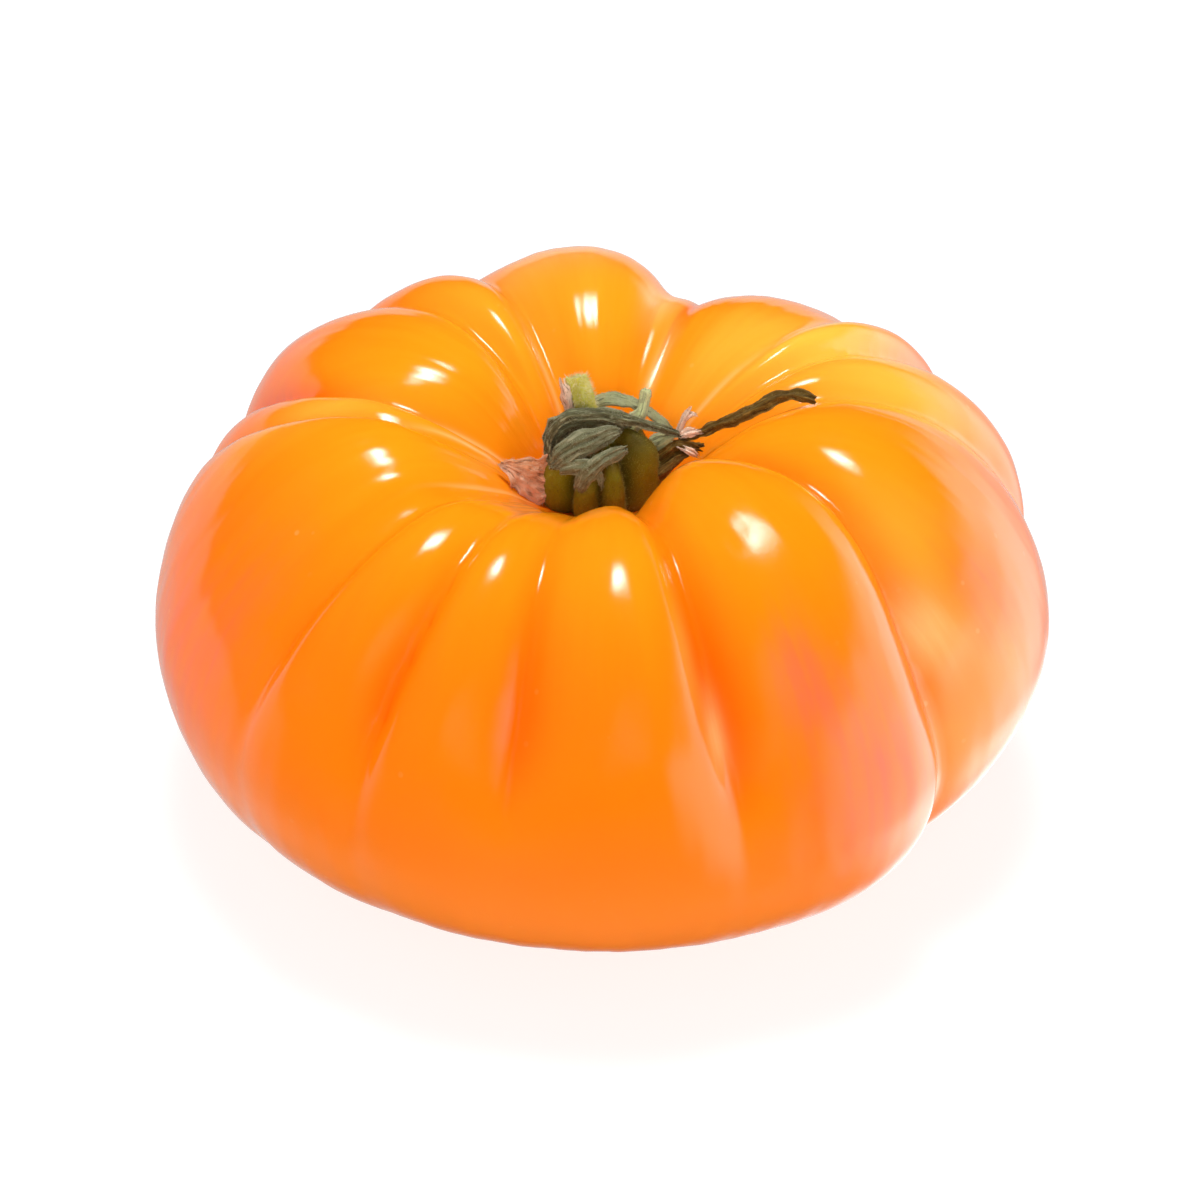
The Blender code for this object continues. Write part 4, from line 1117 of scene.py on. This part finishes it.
class TOMATO_OT_add_fruit(bpy.types.Operator):
    """Adds the fruit's glossy ribbed skin"""
    bl_idname = "tomato.add_fruit"
    bl_label = "Add Fruit"

    def execute(self, context):
        look = context.scene.tomato_fruit
        fruit = grow_lobed("fruit_skin", FRUIT_PROFILE, FRUIT_LOBES, FRUIT_DENTS, {
            "Columns": look.columns, "Rings": look.rings, "Fullness": look.fullness,
            "Crease Softness": look.crease_softness, "Depth Ratio": look.depth_ratio,
            "Wave Height": look.wave_height, "Wave Size": look.wave_size,
            "Grain Height": look.grain_height,
        }, skin_material(look))
        attach(fruit, "skin", "tomato_fruit")
        return {"FINISHED"}


class TOMATO_OT_add_hub(bpy.types.Operator):
    """Adds the calyx's fleshy hub with its hairs"""
    bl_idname = "tomato.add_hub"
    bl_label = "Add Calyx Hub"

    def execute(self, context):
        look = context.scene.tomato_calyx
        flesh = calyx_material("Calyx flesh", look.olive, look.green, HUB_EDGES, HUB_EDGES,
                               freshness=0.45, wrinkle=0.0001)
        hub = grow_lobed("calyx_flesh", HUB_PROFILE, HUB_LOBES, [], {
            "Columns": look.hub_columns, "Rings": look.hub_rings, **HUB_SURFACE}, flesh)
        attach(hub, "calyx_flesh", "calyx_hub")
        add_hairs(hub, "calyx_flesh", look.hair_density * 0.8, look.hair_length * 0.6, lean=0.7,
                  seed=look.hair_seed, material=hair_material("Hub hair", *HUB_HAIR))
        return {"FINISHED"}


class TOMATO_OT_add_stalk(bpy.types.Operator):
    """Adds the hairy stub of the stalk"""
    bl_idname = "tomato.add_stalk"
    bl_label = "Add Stalk"

    def execute(self, context):
        look = context.scene.tomato_calyx
        flesh = calyx_material("Stalk", *STALK_COLOURS, freshness=0.6, wrinkle=0.00008)
        stalk = mesh_object(stalk_mesh(), "stalk", flesh)
        attach(stalk, "stalk", "stalk_stub")
        add_hairs(stalk, "stalk", look.hair_density * 1.5, look.hair_length * 1.3, lean=0.6,
                  seed=look.hair_seed + 1, material=hair_material("Stalk hair", *STALK_HAIR))
        return {"FINISHED"}


class TOMATO_OT_add_sepals(bpy.types.Operator):
    """Adds the dried sepals with their hairs"""
    bl_idname = "tomato.add_sepals"
    bl_label = "Add Sepals"

    def execute(self, context):
        look = context.scene.tomato_calyx
        finishes, hair_finishes = {}, {}
        for slot, (*colours, dark, light, _) in SEPAL_COLOURS.items():
            hair_finishes[slot] = hair_material(slot + " hair", dark, light)
            finishes[slot] = calyx_material(slot, *colours, freshness=0.5, wrinkle=0.00013)
        for number, (name, blades) in enumerate([*SEPALS.items(), ("shreds", SHREDS)]):
            mesh = bmesh.new()
            for k, (changes, stations) in enumerate(blades):
                blade(mesh, stations, number + 0.37 * k, **changes)
            slot = SEPAL_SLOTS[name]
            piece = mesh_object(mesh, name + "_leaf", finishes[slot])
            attach(piece, slot, *([name] if name in SEPALS else []))
            add_hairs(piece, slot, look.hair_density, look.hair_length * SEPAL_COLOURS[slot][-1],
                      lean=0.9, seed=look.hair_seed + 2 + number, material=hair_finishes[slot])
        return {"FINISHED"}


class TOMATO_OT_set_stage(bpy.types.Operator):
    """Adds the floor, the lights and the camera"""
    bl_idname = "tomato.set_stage"
    bl_label = "Set Stage"

    def execute(self, context):
        look = context.scene.tomato_stage
        mesh = bmesh.new()
        bmesh.ops.create_grid(mesh, x_segments=2, y_segments=2, size=look.floor_size / 2)
        floor = mesh_object(mesh, "floor", floor_material(look.floor_colour, look.floor_glow))

        def panel(name, place, width, height, power):
            """Rectangular light that looks at the fruit and dims towards its edges."""
            data = bpy.data.lights.new(name, "AREA")
            data.shape = "RECTANGLE"
            data.size, data.size_y, data.energy = width, height, power
            data.use_nodes = True
            glow = Tree(data.node_tree)
            across, up, _ = glow.split(glow.node("ShaderNodeNewGeometry", {}, {}, "Parametric"))
            far = ((across - 0.5) ** 2.0 + (up - 0.5) ** 2.0) ** 0.5
            light = glow.node("ShaderNodeEmission", {}, {
                "Color": (1.0, 1.0, 1.0), "Strength": PANEL_PEAK * far.bell(0.0, PANEL_FADE)})
            glow.add("ShaderNodeOutputLight", {}, {"Surface": light})
            obj = add_object(name, data)
            obj.location = place
            aim = Vector(PANEL_TARGET) - obj.location
            obj.rotation_euler = aim.to_track_quat("-Z", "Y").to_euler()
            return obj

        panel("Softbox", (0.0, 0.02, look.box_height), look.box_size, look.box_size, look.box_power)
        front = panel("Front panel", *FRONT_PANEL, look.front_power)
        front.visible_glossy = floor.visible_glossy = False

        # A dim room with a bright wall low on the right. Reflections see a pale table below the
        # horizon, which darkens towards the fruit's own shadow in front and underneath.
        world = bpy.data.worlds.new("Room")
        world.use_nodes = True
        tree = Tree(world.node_tree)
        x, y, z = tree.split(tree.node("ShaderNodeTexCoord", {}, {}, "Generated"))
        wall = x.rise(0.40, 0.85) * (1.0 - z.rise(0.15, 0.45)) * look.wall_light
        table = (1.0 - z.rise(-0.06, 0.02)) * y.rise(-0.45, 0.25) * z.rise(-0.97, -0.70)
        table = table * look.table_light
        table = table * (1.0 + 2.2 * x.rise(0.0, 0.25) * (1.0 - z.rise(-0.70, -0.56)))
        room = look.room_light + (-1.0 * x).rise(0.1, 0.9) * look.left_light
        seen = tree.node("ShaderNodeLightPath", {}, {}, "Is Glossy Ray")
        strength = wall + table * seen + (1.0 - seen) * room
        light = tree.node("ShaderNodeBackground", {},
                          {"Color": (1.0, 1.0, 1.0), "Strength": strength})
        tree.add("ShaderNodeOutputWorld", {}, {"Surface": light})
        context.scene.world = world

        camera = add_object("Camera", bpy.data.cameras.new("Camera"))
        camera.location = Vector(CAMERA_TARGET) + look.distance * Vector(
            (0.0, -math.cos(look.elevation), math.sin(look.elevation)))
        camera.rotation_euler = (math.pi / 2 - look.elevation, 0.0, 0.0)
        camera.data.sensor_width = SENSOR_WIDTH
        camera.data.lens = look.focal_length
        camera.data.shift_x, camera.data.shift_y = CAMERA_SHIFT
        context.scene.camera = camera
        context.scene.view_settings.view_transform = "Standard"
        return {"FINISHED"}


OPERATORS = (TOMATO_OT_add_fruit, TOMATO_OT_add_hub, TOMATO_OT_add_stalk, TOMATO_OT_add_sepals,
             TOMATO_OT_set_stage)


class TOMATO_PT_panel(bpy.types.Panel):
    """Lists the tomato's operators and settings"""
    bl_idname = "TOMATO_PT_panel"
    bl_label = "Ribbed Tomato"
    bl_space_type = "VIEW_3D"
    bl_region_type = "UI"
    bl_category = "Tomato"

    def draw(self, context):
        for operator in OPERATORS:
            self.layout.operator(operator.bl_idname)
        scene = context.scene
        for settings in (scene.tomato_fruit, scene.tomato_calyx, scene.tomato_stage):
            box = self.layout.box()
            for name in settings.__annotations__:
                box.prop(settings, name)


CLASSES = (FruitSettings, CalyxSettings, StageSettings, *OPERATORS, TOMATO_PT_panel)


def register():
    for cls in CLASSES:
        bpy.utils.register_class(cls)
    bpy.types.Scene.tomato_fruit = PointerProperty(type=FruitSettings)
    bpy.types.Scene.tomato_calyx = PointerProperty(type=CalyxSettings)
    bpy.types.Scene.tomato_stage = PointerProperty(type=StageSettings)


def unregister():
    del bpy.types.Scene.tomato_fruit
    del bpy.types.Scene.tomato_calyx
    del bpy.types.Scene.tomato_stage
    for cls in reversed(CLASSES):
        bpy.utils.unregister_class(cls)


def main():
    register()
    for operator in OPERATORS:
        family, name = operator.bl_idname.split(".")
        getattr(getattr(bpy.ops, family), name)()


if __name__ == "__main__":
    main()
